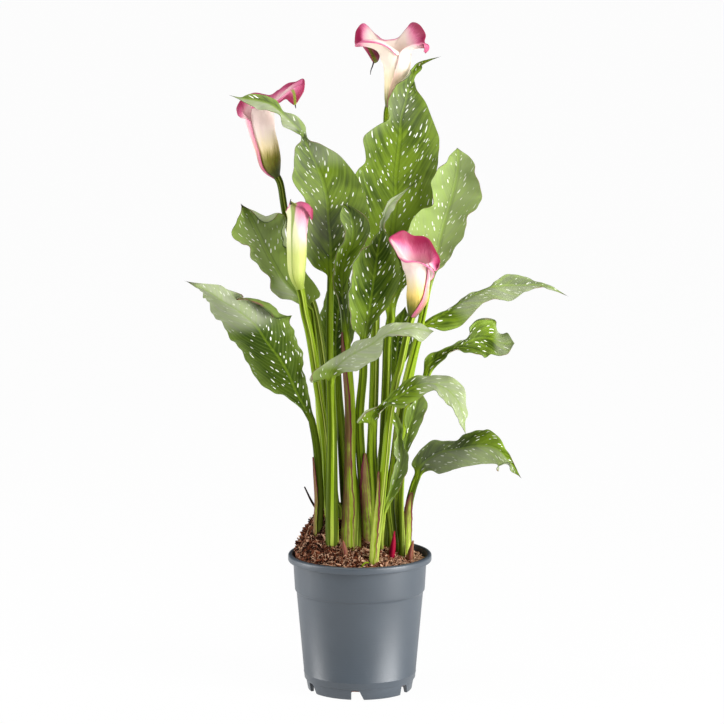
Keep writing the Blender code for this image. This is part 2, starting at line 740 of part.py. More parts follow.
def build_spathe(name, flower, collection):
    """The rolled spathe: a tube that flares into its lobed rim."""
    tube = funnel_tube(flower)
    centres = [point.xyz for point in tube]
    rings = [funnel_ring(point.xyz, direction_at(centres, k), point.w) for k, point in enumerate(tube)]
    axis = direction_at(centres, len(centres) - 1)
    rim_points = [Vector(point) for point in flower["rim"]]
    throat = rings[-1]
    rim = [closed_spline_at(rim_points, k * len(rim_points) / SPATHE_POINTS) for k in range(SPATHE_POINTS)]
    for step in range(1, FLARE_RINGS + 1):
        share = step / FLARE_RINGS
        ring = []
        for start, end in zip(throat, rim):
            control = start + axis * (end - start).length * FLARE_STIFFNESS
            ring.append(start * (1 - share) ** 2 + control * 2 * share * (1 - share) + end * share**2)
        rings.append(ring)
    bm = loft(rings)
    caps = [face for face in bm.faces if len(face.verts) == SPATHE_POINTS]
    lid = max(caps, key=lambda face: face.calc_center_median().z)
    bmesh.ops.delete(bm, geom=[lid], context="FACES_ONLY")
    spathe = new_object(name, mesh_from(bm, name), collection, SPATHE_PINK)
    wall = spathe.modifiers.new("wall", "SOLIDIFY")
    wall.thickness = SPATHE_THICKNESS * MM
    wall.offset = -1.0
    return spathe


def build_spadix(name, flower, collection):
    """The finger on the funnel's floor."""
    base, above = Vector(flower["tube"][0][:3]), Vector(flower["tube"][2][:3])
    axis = (above - base).normalized()
    foot = base + axis * (SPATHE_THICKNESS + GAP)
    path = [Vector((*(foot + axis * flower["spadix"] * share), radius)) for share, radius in SPADIX_SHAPE]
    return tapered_rod(name, path, collection, SPADIX_YELLOW)


def build_sheath(name, sheath, stem, collection):
    """A thin pointed sheath wrapped part way round a stem, from inside the soil's socket."""
    x, y = stem["foot"]
    ground = soil_height(x, y)
    low, high = ground - SHEATH_SOCKET, ground + sheath["tip"]
    path = stem["path"]
    facing, half_wrap = math.radians(sheath["facing"]), math.radians(sheath["wrap"]) / 2.0
    bm = bmesh.new()
    bmesh.ops.create_grid(bm, x_segments=SHEATH_COLUMNS, y_segments=SHEATH_ROWS, size=1.0)
    for vert in bm.verts:
        across, up = vert.co.x, (vert.co.y + 1.0) / 2.0
        height = low + (high - low) * up
        centre = stem_at(path, height)
        narrowing = 1.0 - SHEATH_TAPER * up**SHEATH_POINTEDNESS
        turn = facing + across * half_wrap * narrowing
        radius = centre.w + SHEATH_CLEARANCE + SHEATH_FLARE * up**2
        vert.co = (centre.x + radius * math.cos(turn), centre.y + radius * math.sin(turn), height)
    obj = new_object(name, mesh_from(bm, name), collection, SHEATH_PURPLE)
    wall = obj.modifiers.new("wall", "SOLIDIFY")
    wall.thickness = SHEATH_THICKNESS * MM
    wall.offset = 0.0
    return obj


def stem_at(path, height):
    """The stem's centre and radius at a height."""
    for lower, upper in zip(path, path[1:]):
        if height <= upper.z:
            break
    share = (height - lower.z) / (upper.z - lower.z)
    return lower.lerp(upper, share)


def arc(centre, radius, start, end, steps=3):
    """Points of an arc in the turned profile, angles in degrees."""
    points = []
    for k in range(steps + 1):
        turn = math.radians(start + (end - start) * k / steps)
        points.append((centre[0] + radius * math.cos(turn), centre[1] + radius * math.sin(turn)))
    return points


def inner_wall(clearance):
    """The hollow's wall from the floor up to the rim's underside, a clearance inside the pot."""
    step = POT_HEIGHT - STEP_DROP
    return [
        (FOOT_TOP_RADIUS - WALL - clearance, FLOOR_TOP + clearance),
        (LOWER_WALL_BASE_RADIUS - WALL - clearance, FOOT_HEIGHT + WALL),
        (LOWER_WALL_TOP_RADIUS - WALL - clearance, step - WALL),
        (STEP_RADIUS - WALL - clearance, step + STEP_ROUND),
        (UPPER_WALL_RADIUS - WALL - clearance, POT_HEIGHT - LIP_HEIGHT - WALL),
    ]


def pot_profile():
    """The pot's closed section: over the rim, down the outer wall, under the foot and up inside."""
    step = POT_HEIGHT - STEP_DROP
    lip_foot = POT_HEIGHT - LIP_HEIGHT
    return [
        *arc((RIM_INNER_RADIUS + INNER_ROUND, POT_HEIGHT - INNER_ROUND), INNER_ROUND, 180, 90),
        *arc((RIM_RADIUS - LIP_ROUND, POT_HEIGHT - LIP_ROUND), LIP_ROUND, 90, 0),
        *arc((RIM_RADIUS - INNER_ROUND, lip_foot + INNER_ROUND), INNER_ROUND, 0, -90, 2),
        (UPPER_WALL_RADIUS, lip_foot),
        (STEP_RADIUS, step + STEP_ROUND),
        (STEP_RADIUS - STEP_ROUND / 3.0, step + STEP_ROUND / 3.0),
        (LOWER_WALL_TOP_RADIUS, step - STEP_ROUND / 2.0),
        (LOWER_WALL_BASE_RADIUS, FOOT_HEIGHT + STEP_ROUND / 2.0),
        (FOOT_TOP_RADIUS, FOOT_HEIGHT - STEP_ROUND / 2.0),
        (FOOT_BASE_RADIUS, FOOT_ROUND),
        (FOOT_BASE_RADIUS - FOOT_ROUND, 0.0),
        (FOOT_INNER_RADIUS, 0.0),
        (FOOT_INNER_RADIUS, FLOOR_UNDERSIDE),
        (CENTRE_DRAIN_RADIUS, FLOOR_UNDERSIDE),
        (CENTRE_DRAIN_RADIUS, FLOOR_TOP),
        *inner_wall(0.0),
        (RIM_INNER_RADIUS, POT_HEIGHT - LIP_HEIGHT / 2.0),
    ]


def new_cutter(name, bm, collection):
    """A hidden body for a Boolean to take away."""
    cutter = bpy.data.objects.new(name, mesh_from(bm, name))
    cutter.location = POT_PLACE * MM
    cutter.hide_render = True
    cutter.display_type = "WIRE"
    collection.objects.link(cutter)
    return cutter


def cut(obj, cutter):
    """Take the cutter away from an object."""
    boolean = obj.modifiers.new(cutter.name, "BOOLEAN")
    boolean.operation = "DIFFERENCE"
    boolean.solver = "EXACT"
    boolean.object = cutter


def notch_cutter(number, collection):
    """A drain notch through the foot ring, steep on one side and sloping on the other."""
    bm = bmesh.new()
    bmesh.ops.create_cube(bm, size=1.0)
    middle = (NOTCH_INNER_RADIUS + NOTCH_OUTER_RADIUS) / 2.0
    for vert in bm.verts:
        top = vert.co.z > 0.0
        sloping = vert.co.y > 0.0
        half = NOTCH_TOP_WIDTH / 2.0
        width = half if top or not sloping else NOTCH_BASE_WIDTH - half
        vert.co = (
            middle + vert.co.x * (NOTCH_OUTER_RADIUS - NOTCH_INNER_RADIUS),
            width if sloping else -width,
            NOTCH_HEIGHT if top else -1.0,
        )
    turn = NOTCH_TURN + math.tau * number / NOTCH_COUNT
    bmesh.ops.rotate(bm, verts=bm.verts, matrix=Matrix.Rotation(turn, 3, "Z"))
    return new_cutter(f"notch_{number + 1}", bm, collection)


def build_pot(collection, cutters):
    """The turned pot with its drain notches."""
    bm = bmesh.new()
    verts = [bm.verts.new((radius, 0.0, height)) for radius, height in pot_profile()]
    for first, second in zip(verts, verts[1:] + verts[:1]):
        bm.edges.new((first, second))
    pot = new_object("pot", mesh_from(bm, "pot"), collection, POT_GREY)
    turn = pot.modifiers.new("turned", "SCREW")
    turn.steps = TURN_STEPS
    turn.render_steps = TURN_STEPS
    turn.use_merge_vertices = True
    turn.merge_threshold = MERGE_THRESHOLD
    for number in range(NOTCH_COUNT):
        cut(pot, notch_cutter(number, cutters))
    return pot


def soil_ring(radius, height=None):
    """A ring of the soil's surface, or a level one at a height."""
    ring = []
    for k in range(TURN_STEPS):
        turn = math.tau * k / TURN_STEPS
        x, y = radius * math.cos(turn), radius * math.sin(turn)
        ring.append(Vector((x, y, soil_height(x, y) if height is None else height)))
    return ring


def socket_cutter(name, foot, radius, depth, collection):
    """The hole that a stem stands in."""
    x, y = foot
    ground = soil_height(x, y)
    low, high = ground - depth, ground + SOCKET_HEADROOM
    bm = bmesh.new()
    bmesh.ops.create_cone(
        bm, cap_ends=True, segments=SOCKET_SIDES, radius1=radius, radius2=radius, depth=high - low
    )
    bmesh.ops.rotate(bm, verts=bm.verts, matrix=Matrix.Rotation(SOCKET_TURN, 3, "Z"))
    bmesh.ops.translate(bm, verts=bm.verts, vec=(x, y, (low + high) / 2.0))
    return new_cutter(f"socket_{name}", bm, collection)


def build_soil(collection, cutters, sockets):
    """The soil that fills the pot, with a socket for each stem."""
    sides = [soil_ring(radius, height) for radius, height in inner_wall(GAP)]
    top = [soil_ring(radius) for radius in SOIL_RINGS]
    soil = new_object("potting_soil", mesh_from(loft(sides + top), "potting_soil"), collection, SOIL_BROWN)
    for name, (foot, radius, depth) in sockets.items():
        cut(soil, socket_cutter(name, foot, radius, depth, cutters))
    return soil


def main():
    """Build the plant and its pot."""
    clear_scene()
    plant = new_collection("potted_calla_lily")
    cutters = new_collection("cutters")
    stems = {}
    for name, leaf in LEAVES.items():
        build_leaf(name, leaf, plant)
        path = stem_path(leaf["foot"], leaf["thick"], leaf["stem"], [leaf["blade"][0][1]])
        stems[name] = {"foot": leaf["foot"], "path": path, "radius": leaf["thick"][0]}
    for name, flower in FLOWERS.items():
        build_scape(f"scape_{name}", flower, plant)
        build_spathe(f"spathe_{name}", flower, plant)
        if flower["spadix"]:
            build_spadix(f"spadix_{name}", flower, plant)
        path = stem_path(flower["foot"], flower["thick"], flower["stem"], [flower["tube"][0][:3]])
        stems[f"scape_{name}"] = {"foot": flower["foot"], "path": path, "radius": flower["thick"][0]}
    held = {sheath["holds"] for sheath in SHEATHS.values()}
    sockets = {}
    for name, stem in stems.items():
        clearance = SHEATHED_SOCKET_CLEARANCE if name in held else SOCKET_CLEARANCE
        sockets[name] = (stem["foot"], stem["radius"] + clearance, SOCKET_DEPTH)
    for name, sheath in SHEATHS.items():
        build_sheath(name, sheath, stems[sheath["holds"]], plant)
    for name, shoot in SHOOTS.items():
        x, y = shoot["foot"]
        ground = soil_height(x, y)
        radius = shoot["rise"][0][3]
        points = [(x + dx, y + dy, ground + dz, r) for dx, dy, dz, r in shoot["rise"]]
        path = [Vector((x, y, ground - SHOOT_SOCKET_DEPTH + GAP, radius)), *map(Vector, points)]
        tapered_rod(name, resample(path, RINGS_PER_SPAN), plant, SHOOT_FINISHES[name])
        sockets[name] = (shoot["foot"], radius + SOCKET_CLEARANCE, SHOOT_SOCKET_DEPTH)
    build_pot(plant, cutters)
    build_soil(plant, cutters, sockets)


main()
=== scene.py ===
"""Looks of a potted calla lily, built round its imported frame.

The tables are in millimetres from the pot's axis at floor level, with +Z up and the plant's front facing -Y.
Every mesh is moved to where the frame's pot stands when it becomes metres.
"""

import math
import random

import bmesh
import bpy
import numpy as np
from bpy.props import FloatProperty, FloatVectorProperty, IntProperty, PointerProperty
from mathutils import Matrix, Vector, noise


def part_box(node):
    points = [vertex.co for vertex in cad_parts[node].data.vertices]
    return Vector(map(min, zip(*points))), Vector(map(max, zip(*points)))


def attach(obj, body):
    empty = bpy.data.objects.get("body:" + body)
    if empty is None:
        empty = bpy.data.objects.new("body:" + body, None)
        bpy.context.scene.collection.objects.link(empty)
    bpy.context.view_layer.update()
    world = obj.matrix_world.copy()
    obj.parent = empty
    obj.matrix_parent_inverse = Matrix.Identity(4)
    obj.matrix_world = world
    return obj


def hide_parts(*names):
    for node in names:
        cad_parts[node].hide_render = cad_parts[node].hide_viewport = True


bl_info = {
    "name": "Potted calla lily",
    "version": (1, 0, 0),
    "blender": (4, 5, 0),
    "location": "View3D > Sidebar > Calla lily",
    "description": "Builds the leaves, flowers, soil and pot of a calla lily round its packed frame",
    "category": "Add Mesh",
}

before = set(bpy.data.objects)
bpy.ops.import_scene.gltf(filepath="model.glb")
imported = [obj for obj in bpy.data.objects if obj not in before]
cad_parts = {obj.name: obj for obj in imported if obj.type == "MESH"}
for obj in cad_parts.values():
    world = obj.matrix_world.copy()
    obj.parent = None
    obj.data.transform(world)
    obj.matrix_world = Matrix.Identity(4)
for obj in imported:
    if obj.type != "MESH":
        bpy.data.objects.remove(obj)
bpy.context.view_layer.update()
POT_LOW, POT_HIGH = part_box("pot")
POT_PLACE = np.array([(POT_LOW[0] + POT_HIGH[0]) / 2.0, (POT_LOW[1] + POT_HIGH[1]) / 2.0, 0.0])
BODY = "root"
MM = 0.001
GAP = 0.35
TO_PLACE = Matrix.Translation(Vector(POT_PLACE)) @ Matrix.Scale(MM, 4)
UV_UNIT = 10.0

# Pot
POT_HEIGHT = 125.0
RIM_RADIUS = 65.0
RIM_INNER_RADIUS = 61.0
LIP_HEIGHT = 6.5
UPPER_WALL_RADIUS = 60.4
STEP_RADIUS = 58.9
STEP_DROP = 34.0
LOWER_WALL_TOP_RADIUS = 57.4
LOWER_WALL_BASE_RADIUS = 50.4
FOOT_HEIGHT = 10.0
FOOT_TOP_RADIUS = 48.8
FOOT_BASE_RADIUS = 47.4
FOOT_INNER_RADIUS = 44.4
WALL = 1.5
FLOOR_UNDERSIDE = 5.5
FLOOR_TOP = 7.1
INNER_ROUND = 1.2
LIP_ROUND = 2.0
STEP_ROUND = 1.6
SEAM_RISE = 6.0
SHARP_ANGLE = math.radians(38.0)
NOTCH_ROUND = 1.1
CENTRE_DRAIN_RADIUS = 4.0
NOTCH_COUNT = 6
NOTCH_TURN = math.radians(-95.0)
NOTCH_HEIGHT = 8.6
NOTCH_TOP_WIDTH = 7.5
NOTCH_BASE_WIDTH = 12.0
NOTCH_INNER_RADIUS = 39.0
NOTCH_OUTER_RADIUS = 54.0

# Soil
SOIL_LEVEL = 121.5
SOIL_SLOPE = 0.05
SOIL_EDGE_RADIUS = 61.0
MOUND_HEIGHT = 41.0
MOUND_CENTRE = (-36.0, 10.0)
MOUND_SPREAD = 26.0
CROWN_HEIGHT = 10.0
CROWN_CENTRE = (2.0, -15.0)
CROWN_SPREAD = 30.0
SOIL_COLUMNS = 220
SOIL_RINGS = 90
CRUMB_SCALE = 0.16
CRUMB_HEIGHT = 1.9
CRUMB_DROP = 0.8
CRUMB_FADE = 6.0
CHIP_EDGE = SOIL_EDGE_RADIUS - 3.0
FIBRE_EDGE = SOIL_EDGE_RADIUS - 4.0
STRAND_EDGE = SOIL_EDGE_RADIUS - 1.5
STRAND_STEPS = 8
LONG_FIBRE_SHARE = 0.12
SOCKET_DEPTH = 12.0
STRAIGHT_RISE = 6.0

# Leaves, stems and flowers
LAMINA_HALF_THICKNESS = 0.3
RIB_TIP = 0.35
RIB_TAPER = 1.6
SCAPE_NECK = 8.0
CREST_BLUSH = 8.0
FLARE_STIFFNESS = 0.45
ROLL_REACH = 4.0
SPADIX_LENGTH = 34.0
SPADIX_SHAPE = ((0.0, 2.0), (0.15, 2.6), (0.6, 2.7), (0.9, 2.2), (1.0, 1.0))
SHEATH_CLEARANCE = 1.0
SHEATH_FLARE = 0.6
SHEATH_TAPER = 0.9
SHEATH_POINTEDNESS = 3
SHEATH_SOCKET = 8.0
SHOOT_SOCKET_DEPTH = 6.0
VEIN_SLOPE = 1.15
VEIN_ARCH = 0.7
VEIN_SPACING = 6.6
HEM_COLUMNS = 6
HEM_LEAST = 0.5
HEM_REACH = 0.06
LAMINA_REACH = 0.94
ROW_FADE = 0.45
LONG_WAVE = 31.0
SHORT_WAVE = 13.0
STEM_STEP = 4.5
FUNNEL_ROWS = 41
FUNNEL_FOOT_ROWS = 6
FLARE_ROWS = 26
FALL_ROWS = 14
SPADIX_SEAT = 1.45
# Pale stripes round a flower stalk, partly its own and partly painted highlights: where round it and how
# wide.
STALK_STRIPES_AND_HIGHLIGHTS = ((0.3, 0.03), (0.62, 0.02), (0.93, 0.03))
SHEATH_COLUMNS = 28
SHEATH_ROWS = 120
SHEATH_WALL = 0.0005

# Studio, in metres
FLOOR_RADIUS = 30.0
BACKDROP_SHARE = 0.975
CAMERA_RIGHT = 0.00195
CAMERA_HEIGHT = 0.779
CAMERA_TILT = math.radians(90.0 - 9.07)
SENSOR_WIDTH = 36.0

# A lamp is its width and height, its place from the pot's axis, and the height on the axis that it points at.
LAMPS = {
    "key": ((0.7, 1.7), (1.34, -1.05, 0.87), 0.6),
    "fill": ((0.5, 1.7), (-1.7, -0.15, 0.87), 0.6),
    "low": ((0.26, 0.44), (0.84, -0.36, 0.24), 0.1),
    "edge": ((0.16, 0.44), (-0.92, 0.06, 0.24), 0.1),
    "top": ((1.3, 1.3), (-0.5, -0.75, 1.9), 0.35),
}

# Every leaf is one piece: a stalk from its foot in the soil through its stem points, then a blade.
# A blade row is a place along the leaf: its left edge, its midrib and its right edge.
# thick is the stalk's radius at the soil and at the blade, and a fourth number is the radius at that point.
# tone_and_shading runs from -1, dark, to 1, light: partly the blade's own tone, partly painted light and
# shade, with the leaves low down or at the back darkened as painted shade. thread draws the tip out into a
# dry tail.
# pale says where a silvery sheen is painted on the front, in part where the pale back shows: from and to a
# row, and the side, -1 left, 1 right or 0 both. hems are margins that roll over: rows, side, width and the
# angle rolled. wave scales the margin's waves, and under the back's paleness.
LEAVES = {
    "leaf_upper_left": {
        "foot": (-18, 0), "thick": (4.2, 3.0), "tip": (-115, -36, 543), "tone_and_shading": -0.2, "thread": 1.2,
        "pale": [(9.0, 14.5, -1), (6.0, 11.0, 1, 0.5), (1.5, 9.0, -1, 0.25)],
        "stem": [(-23, 5, 173), (-26, 4, 228), (-27, -4, 321)],
        "blade": [
            ((-28, -13, 377), (-26, -12, 378), (-23, -13, 379)),
            ((-39, -17, 386), (-26, -13, 390), (-11, -15, 387)),
            ((-48, -22, 404), (-26, -15, 410), (1, -17, 407)),
            ((-46, -22, 427), (-28, -17, 429), (7, -18, 429)),
            ((-48, -23, 448), (-29, -19, 448), (6, -20, 447)),
            ((-58, -26, 465), (-33, -20, 466), (1, -22, 463)),
            ((-58, -27, 480), (-38, -21, 479), (-13, -23, 483)),
            ((-57, -27, 493), (-43, -22, 490), (-29, -24, 495)),
            ((-51, -26, 503), (-49, -24, 504), (-46, -26, 505)),
            ((-57, -28, 510), (-54, -27, 512), (-48, -22, 514)),
            ((-67, -32, 515), (-60, -29, 518), (-54, -24, 522)),
            ((-69, -33, 523), (-68, -31, 526), (-67, -29, 527)),
            ((-79, -36, 529), (-78, -33, 534), (-74, -31, 538)),
            ((-91, -38, 532), (-91, -35, 538), (-91, -33, 543)),
            ((-102, -37, 537), (-104, -36, 540), (-105, -35, 541)),
        ],
    },
    "leaf_top": {
        "foot": (21, 4), "thick": (4.6, 4.0), "tip": (73, 32, 572), "tone_and_shading": 0.2, "thread": 1.2,
        "hems": [(10.3, 12.8, -1, 4.0, 150)],
        "stem": [(21, 4, 173), (22, 4, 228), (24, 4, 286), (25, 5, 319)],
        "blade": [
            ((24, 5, 339), (28, 6, 339), (30, 5, 341)), ((15, 2, 358), (28, 5, 359), (38, 2, 364)),
            ((3, 0, 387), (28, 4, 385), (52, 0, 383)), ((-6, -2, 414), (29, 4, 414), (62, -2, 412)),
            ((-9, -1, 443), (32, 7, 443), (64, 1, 443)), ((-4, 4, 469), (32, 11, 465), (67, 5, 467)),
            ((6, 11, 481), (34, 15, 483), (70, 10, 485)), ((4, 12, 502), (36, 19, 501), (70, 15, 501)),
            ((25, 19, 516), (37, 23, 517), (64, 20, 518)), ((25, 23, 529), (41, 28, 531), (58, 26, 532)),
            ((32, 28, 544), (44, 32, 543), (51, 31, 542)), ((41, 33, 552), (48, 35, 551), (49, 36, 551)),
            ((48, 38, 559), (52, 37, 560), (54, 36, 560)), ((55, 37, 567), (58, 36, 567), (58, 35, 565)),
        ],
    },
    "leaf_upper_right": {
        "foot": (31, -8), "thick": (4.2, 3.2), "tip": (87, 10, 492), "tone_and_shading": 0.6, "wave": 1.5,
        "pale": [(1.0, 12.5, -1, 0.3), (1.0, 12.5, 1, 0.4)],
        "stem": [(27, -8, 175), (31, -8, 212), (38, -8, 267), (51, -7, 321), (56, -6, 343)],
        "blade": [
            ((57, -6, 365), (60, -5, 364), (63, -6, 366)), ((52, -10, 379), (64, -7, 382), (69, -10, 383)),
            ((45, -14, 398), (69, -9, 399), (79, -14, 396)),
            ((42, -15, 418), (72, -9, 414), (91, -16, 414)),
            ((50, -13, 434), (76, -7, 429), (94, -15, 430)),
            ((64, -9, 443), (80, -4, 442), (105, -14, 442)), ((64, -7, 458), (84, 0, 456), (107, -9, 456)),
            ((69, -2, 473), (87, 4, 470), (103, -3, 472)), ((77, 3, 481), (88, 7, 480), (99, 3, 482)),
            ((83, 8, 488), (88, 9, 488), (92, 8, 488)),
        ],
    },
    "leaf_mid_left": {
        "foot": (-33, 12), "thick": (3.8, 2.8), "tip": (-106, -8, 444), "tone_and_shading": 0.6, "thread": 0.8,
        "wave": 2.4, "pale": [(0.9, 2.2, -1)], "hems": [(2.2, 4.8, 1, 6.0, 165), (5.4, 6.4, 1, 7.0, 160)],
        "stem": [(-31, 10, 172), (-35, 6, 228), (-38, 0, 284), (-41, -6, 321)],
        "blade": [
            ((-45, -10, 347), (-44, -10, 348), (-41, -11, 350)),
            ((-60, -14, 357), (-56, -11, 362), (-34, -14, 360)),
            ((-76, -17, 366), (-68, -10, 375), (-48, -12, 383)),
            ((-87, -16, 386), (-77, -8, 390), (-62, -10, 401)),
            ((-98, -14, 403), (-85, -5, 405), (-66, -8, 415)),
            ((-110, -13, 412), (-92, -2, 419), (-71, -6, 434)),
            ((-109, -10, 430), (-98, 0, 431), (-85, -8, 435)),
        ],
    },
    "leaf_centre_hood": {
        "foot": (-7.5, -22), "thick": (9.0, 3.6), "tip": (-15, -27, 446), "tone_and_shading": -0.2, "wave": 0.5,
        "hems": [(1.0, 7.5, -1, 1.0, 60), (4.0, 7.5, 1, 1.0, 60)], "stem": [
            (-7, -22, 160, 8.3), (-7, -22, 180, 7.2), (-8, -22, 206, 5.0), (-8, -22, 233, 4.2),
            (-8, -22, 265, 3.9), (-10, -23, 296, 3.7),
        ],
        "blade": [
            ((-14, -25, 324), (-12, -24, 324), (-10, -25, 326)),
            ((-16, -29, 348), (-14, -27, 347), (-10, -29, 353)),
            ((-22, -33, 370), (-16, -29, 368), (-11, -33, 370)),
            ((-23, -36, 386), (-16, -31, 386), (-8, -35, 386)),
            ((-21, -38, 401), (-12, -31, 400), (-2, -37, 401)),
            ((-14, -39, 414), (-7, -31, 412), (5, -36, 413)),
            ((-14, -38, 425), (-6, -30, 425), (8, -36, 426)),
            ((-17, -35, 435), (-8, -29, 435), (3, -34, 437)),
            ((-16, -31, 441), (-11, -28, 442), (-7, -31, 444)),
        ],
    },
    "leaf_centre_front": {
        "foot": (6, -8), "thick": (5.0, 3.5), "tip": (49, -20, 464), "tone_and_shading": -0.35, "thread": 1.0,
        "pale": [(8.2, 12.5, 0)], "hems": [(1.0, 6.0, -1, 2.0, 100)],
        "stem": [(4, -10, 176), (0, -12, 231), (0, -18, 260), (3, -27, 294)],
        "blade": [
            ((0, -31, 323), (3, -30, 323), (6, -31, 325)), ((-5, -38, 334), (6, -34, 333), (10, -37, 333)),
            ((-8, -44, 348), (8, -38, 347), (16, -43, 347)),
            ((-9, -48, 364), (10, -41, 363), (28, -48, 363)),
            ((-8, -50, 379), (12, -42, 378), (35, -51, 380)),
            ((-5, -50, 394), (14, -42, 393), (35, -51, 395)),
            ((2, -48, 408), (16, -41, 407), (31, -49, 408)),
            ((10, -44, 414), (18, -39, 417), (25, -45, 418)),
            ((18, -40, 423), (20, -38, 424), (22, -41, 424)),
            ((19, -36, 433), (21, -34, 433), (25, -37, 434)),
            ((21, -31, 440), (25, -29, 443), (29, -32, 442)),
            ((28, -27, 450), (32, -25, 451), (35, -26, 450)),
        ],
    },
    "leaf_front_bent": {
        "foot": (-24.8, -24.5), "thick": (6.2, 3.9), "tip": (65, -66, 338), "tone_and_shading": 0.2,
        "pale": [(2.0, 10.5, 0)], "hems": [(0.7, 1.8, -1, 6.0, 170)],
        "stem": [(-25, -25, 159, 5.9), (-25, -26, 196, 5.3), (-25, -28, 243, 4.6), (-26, -31, 275, 4.1)],
        "blade": [
            ((-29, -33, 288), (-26, -33, 290), (-22, -33, 292)),
            ((-43, -34, 288), (-25, -36, 295), (-19, -37, 294)),
            ((-37, -40, 301), (-21, -41, 302), (-14, -43, 298)),
            ((-15, -46, 316), (-11, -50, 312), (-3, -54, 301)),
            ((-3, -52, 326), (-1, -57, 319), (7, -63, 309)),
            ((10, -58, 331), (11, -62, 326), (18, -68, 317)),
            ((20, -62, 341), (21, -66, 334), (23, -71, 333)),
            ((34, -64, 345), (34, -68, 339), (35, -73, 336)),
            ((46, -64, 345), (47, -68, 341), (47, -73, 333)),
            ((55, -64, 343), (56, -67, 339), (55, -71, 330)),
        ],
    },
    "leaf_lower_left": {
        "foot": (-37, -12), "thick": (4.0, 3.2), "tip": (-151, -112, 389), "tone_and_shading": -0.95, "thread": 0.8,
        "wave": 1.3, "under": 0.1, "pale": [(5.9, 10.5, 0, 0.9)], "hems": [(5.5, 8.3, 1, 17.0, 170)],
        "stem": [(-36, -14, 177), (-37, -15, 200), (-39, -17, 227)],
        "blade": [
            ((-45, -19, 249), (-43, -18, 250), (-40, -19, 252)),
            ((-53, -22, 262), (-49, -21, 262), (-44, -22, 267)),
            ((-69, -26, 274), (-56, -27, 276), (-48, -25, 284)),
            ((-90, -31, 287), (-64, -35, 296), (-51, -27, 304)),
            ((-99, -38, 307), (-72, -42, 311), (-54, -30, 320)),
            ((-109, -47, 323), (-82, -51, 326), (-61, -37, 336)),
            ((-119, -57, 340), (-92, -61, 343), (-74, -47, 354)),
            ((-129, -69, 356), (-106, -73, 357), (-86, -58, 364)),
            ((-134, -84, 370), (-120, -86, 368), (-105, -74, 368)),
            ((-138, -98, 378), (-133, -99, 379), (-122, -90, 382)),
        ],
    },
    "leaf_front_right": {
        "foot": (13, -28), "thick": (4.0, 3.4), "tip": (93, -78, 248), "tone_and_shading": 0.0,
        "pale": [(5.5, 11.5, 0, 0.8)], "hems": [(1.0, 2.4, -1, 3.0, 150)],
        "stem": [(14, -29, 160), (14, -30, 188), (12, -32, 220)],
        "blade": [
            ((10, -37, 249), (12, -36, 250), (15, -37, 251)),
            ((-2, -43, 252), (12, -40, 257), (15, -42, 255)),
            ((6, -48, 263), (18, -46, 265), (20, -50, 264)),
            ((23, -52, 274), (25, -54, 273), (26, -56, 271)),
            ((32, -52, 285), (35, -58, 279), (37, -63, 269)),
            ((46, -54, 294), (47, -61, 287), (49, -67, 277)),
            ((61, -56, 297), (61, -63, 291), (62, -70, 286)),
            ((78, -58, 296), (75, -65, 287), (71, -72, 281)),
            ((92, -62, 286), (85, -69, 278), (79, -76, 274)),
            ((94, -68, 267), (90, -73, 267), (85, -78, 264)),
            ((92, -73, 258), (92, -75, 257), (89, -78, 257)),
        ],
    },
    "leaf_right_long": {
        "foot": (33, 6), "thick": (4.0, 2.8), "tip": (192, 82, 348), "tone_and_shading": -0.2, "thread": 0.8, "wave": 0.6,
        "pale": [(2.6, 9.5, 1, 0.75), (3.0, 9.5, -1, 0.45)],
        "stem": [(33, 6, 172), (35, 6, 209), (42, 6, 264), (50, 5, 308)],
        "blade": [
            ((56, 4, 336), (57, 3, 332), (59, 2, 331)), ((66, 6, 341), (67, 4, 338), (72, 0, 328)),
            ((78, 12, 345), (78, 10, 344), (89, 4, 332)), ((89, 21, 352), (90, 18, 351), (102, 11, 343)),
            ((103, 31, 359), (104, 28, 357), (111, 21, 351)),
            ((118, 40, 363), (117, 37, 362), (124, 29, 353)),
            ((132, 51, 372), (132, 46, 363), (138, 39, 351)),
            ((145, 60, 370), (148, 55, 362), (150, 50, 357)),
            ((162, 68, 364), (163, 65, 361), (163, 62, 359)),
            ((176, 74, 358), (176, 73, 357), (175, 71, 356)),
        ],
    },
    "leaf_right_rounded": {
        "foot": (28, 19), "thick": (3.8, 3.4), "tip": (141, 47, 310), "tone_and_shading": 0.1,
        "pale": [(6.6, 9.5, 0, 0.7)], "hems": [(4.2, 6.4, -1, 6.0, 150)],
        "stem": [(30, 18, 170), (36, 17, 216), (45, 16, 254), (54, 14, 272)],
        "blade": [
            ((57, 12, 286), (60, 12, 285), (64, 12, 285)), ((58, 16, 298), (64, 14, 296), (71, 12, 296)),
            ((66, 24, 305), (73, 20, 302), (80, 16, 305)), ((83, 33, 309), (85, 28, 308), (91, 22, 307)),
            ((97, 42, 316), (97, 36, 312), (104, 28, 304)),
            ((106, 51, 328), (108, 43, 315), (113, 33, 299)),
            ((120, 57, 328), (119, 47, 314), (120, 35, 303)),
            ((127, 58, 318), (126, 47, 311), (128, 36, 300)),
            ((135, 56, 318), (134, 47, 309), (135, 38, 302)),
        ],
    },
    "leaf_right_low": {
        "foot": (42, -2), "thick": (4.0, 3.2), "tip": (142, -84, 210), "tone_and_shading": 0.1, "thread": 0.8,
        "pale": [(1.0, 9.0, 1, 0.55)], "hems": [(7.0, 8.4, 1, 13.0, 25)],
        "stem": [(44, -3, 166), (48, -6, 186)],
        "blade": [
            ((48, -10, 200), (52, -10, 198), (55, -11, 196)),
            ((46, -14, 208), (56, -15, 209), (65, -18, 204)),
            ((54, -17, 222), (64, -22, 217), (72, -29, 204)),
            ((68, -19, 232), (75, -30, 224), (83, -41, 210)),
            ((87, -24, 233), (88, -40, 228), (95, -52, 215)),
            ((101, -34, 243), (100, -50, 232), (108, -62, 219)),
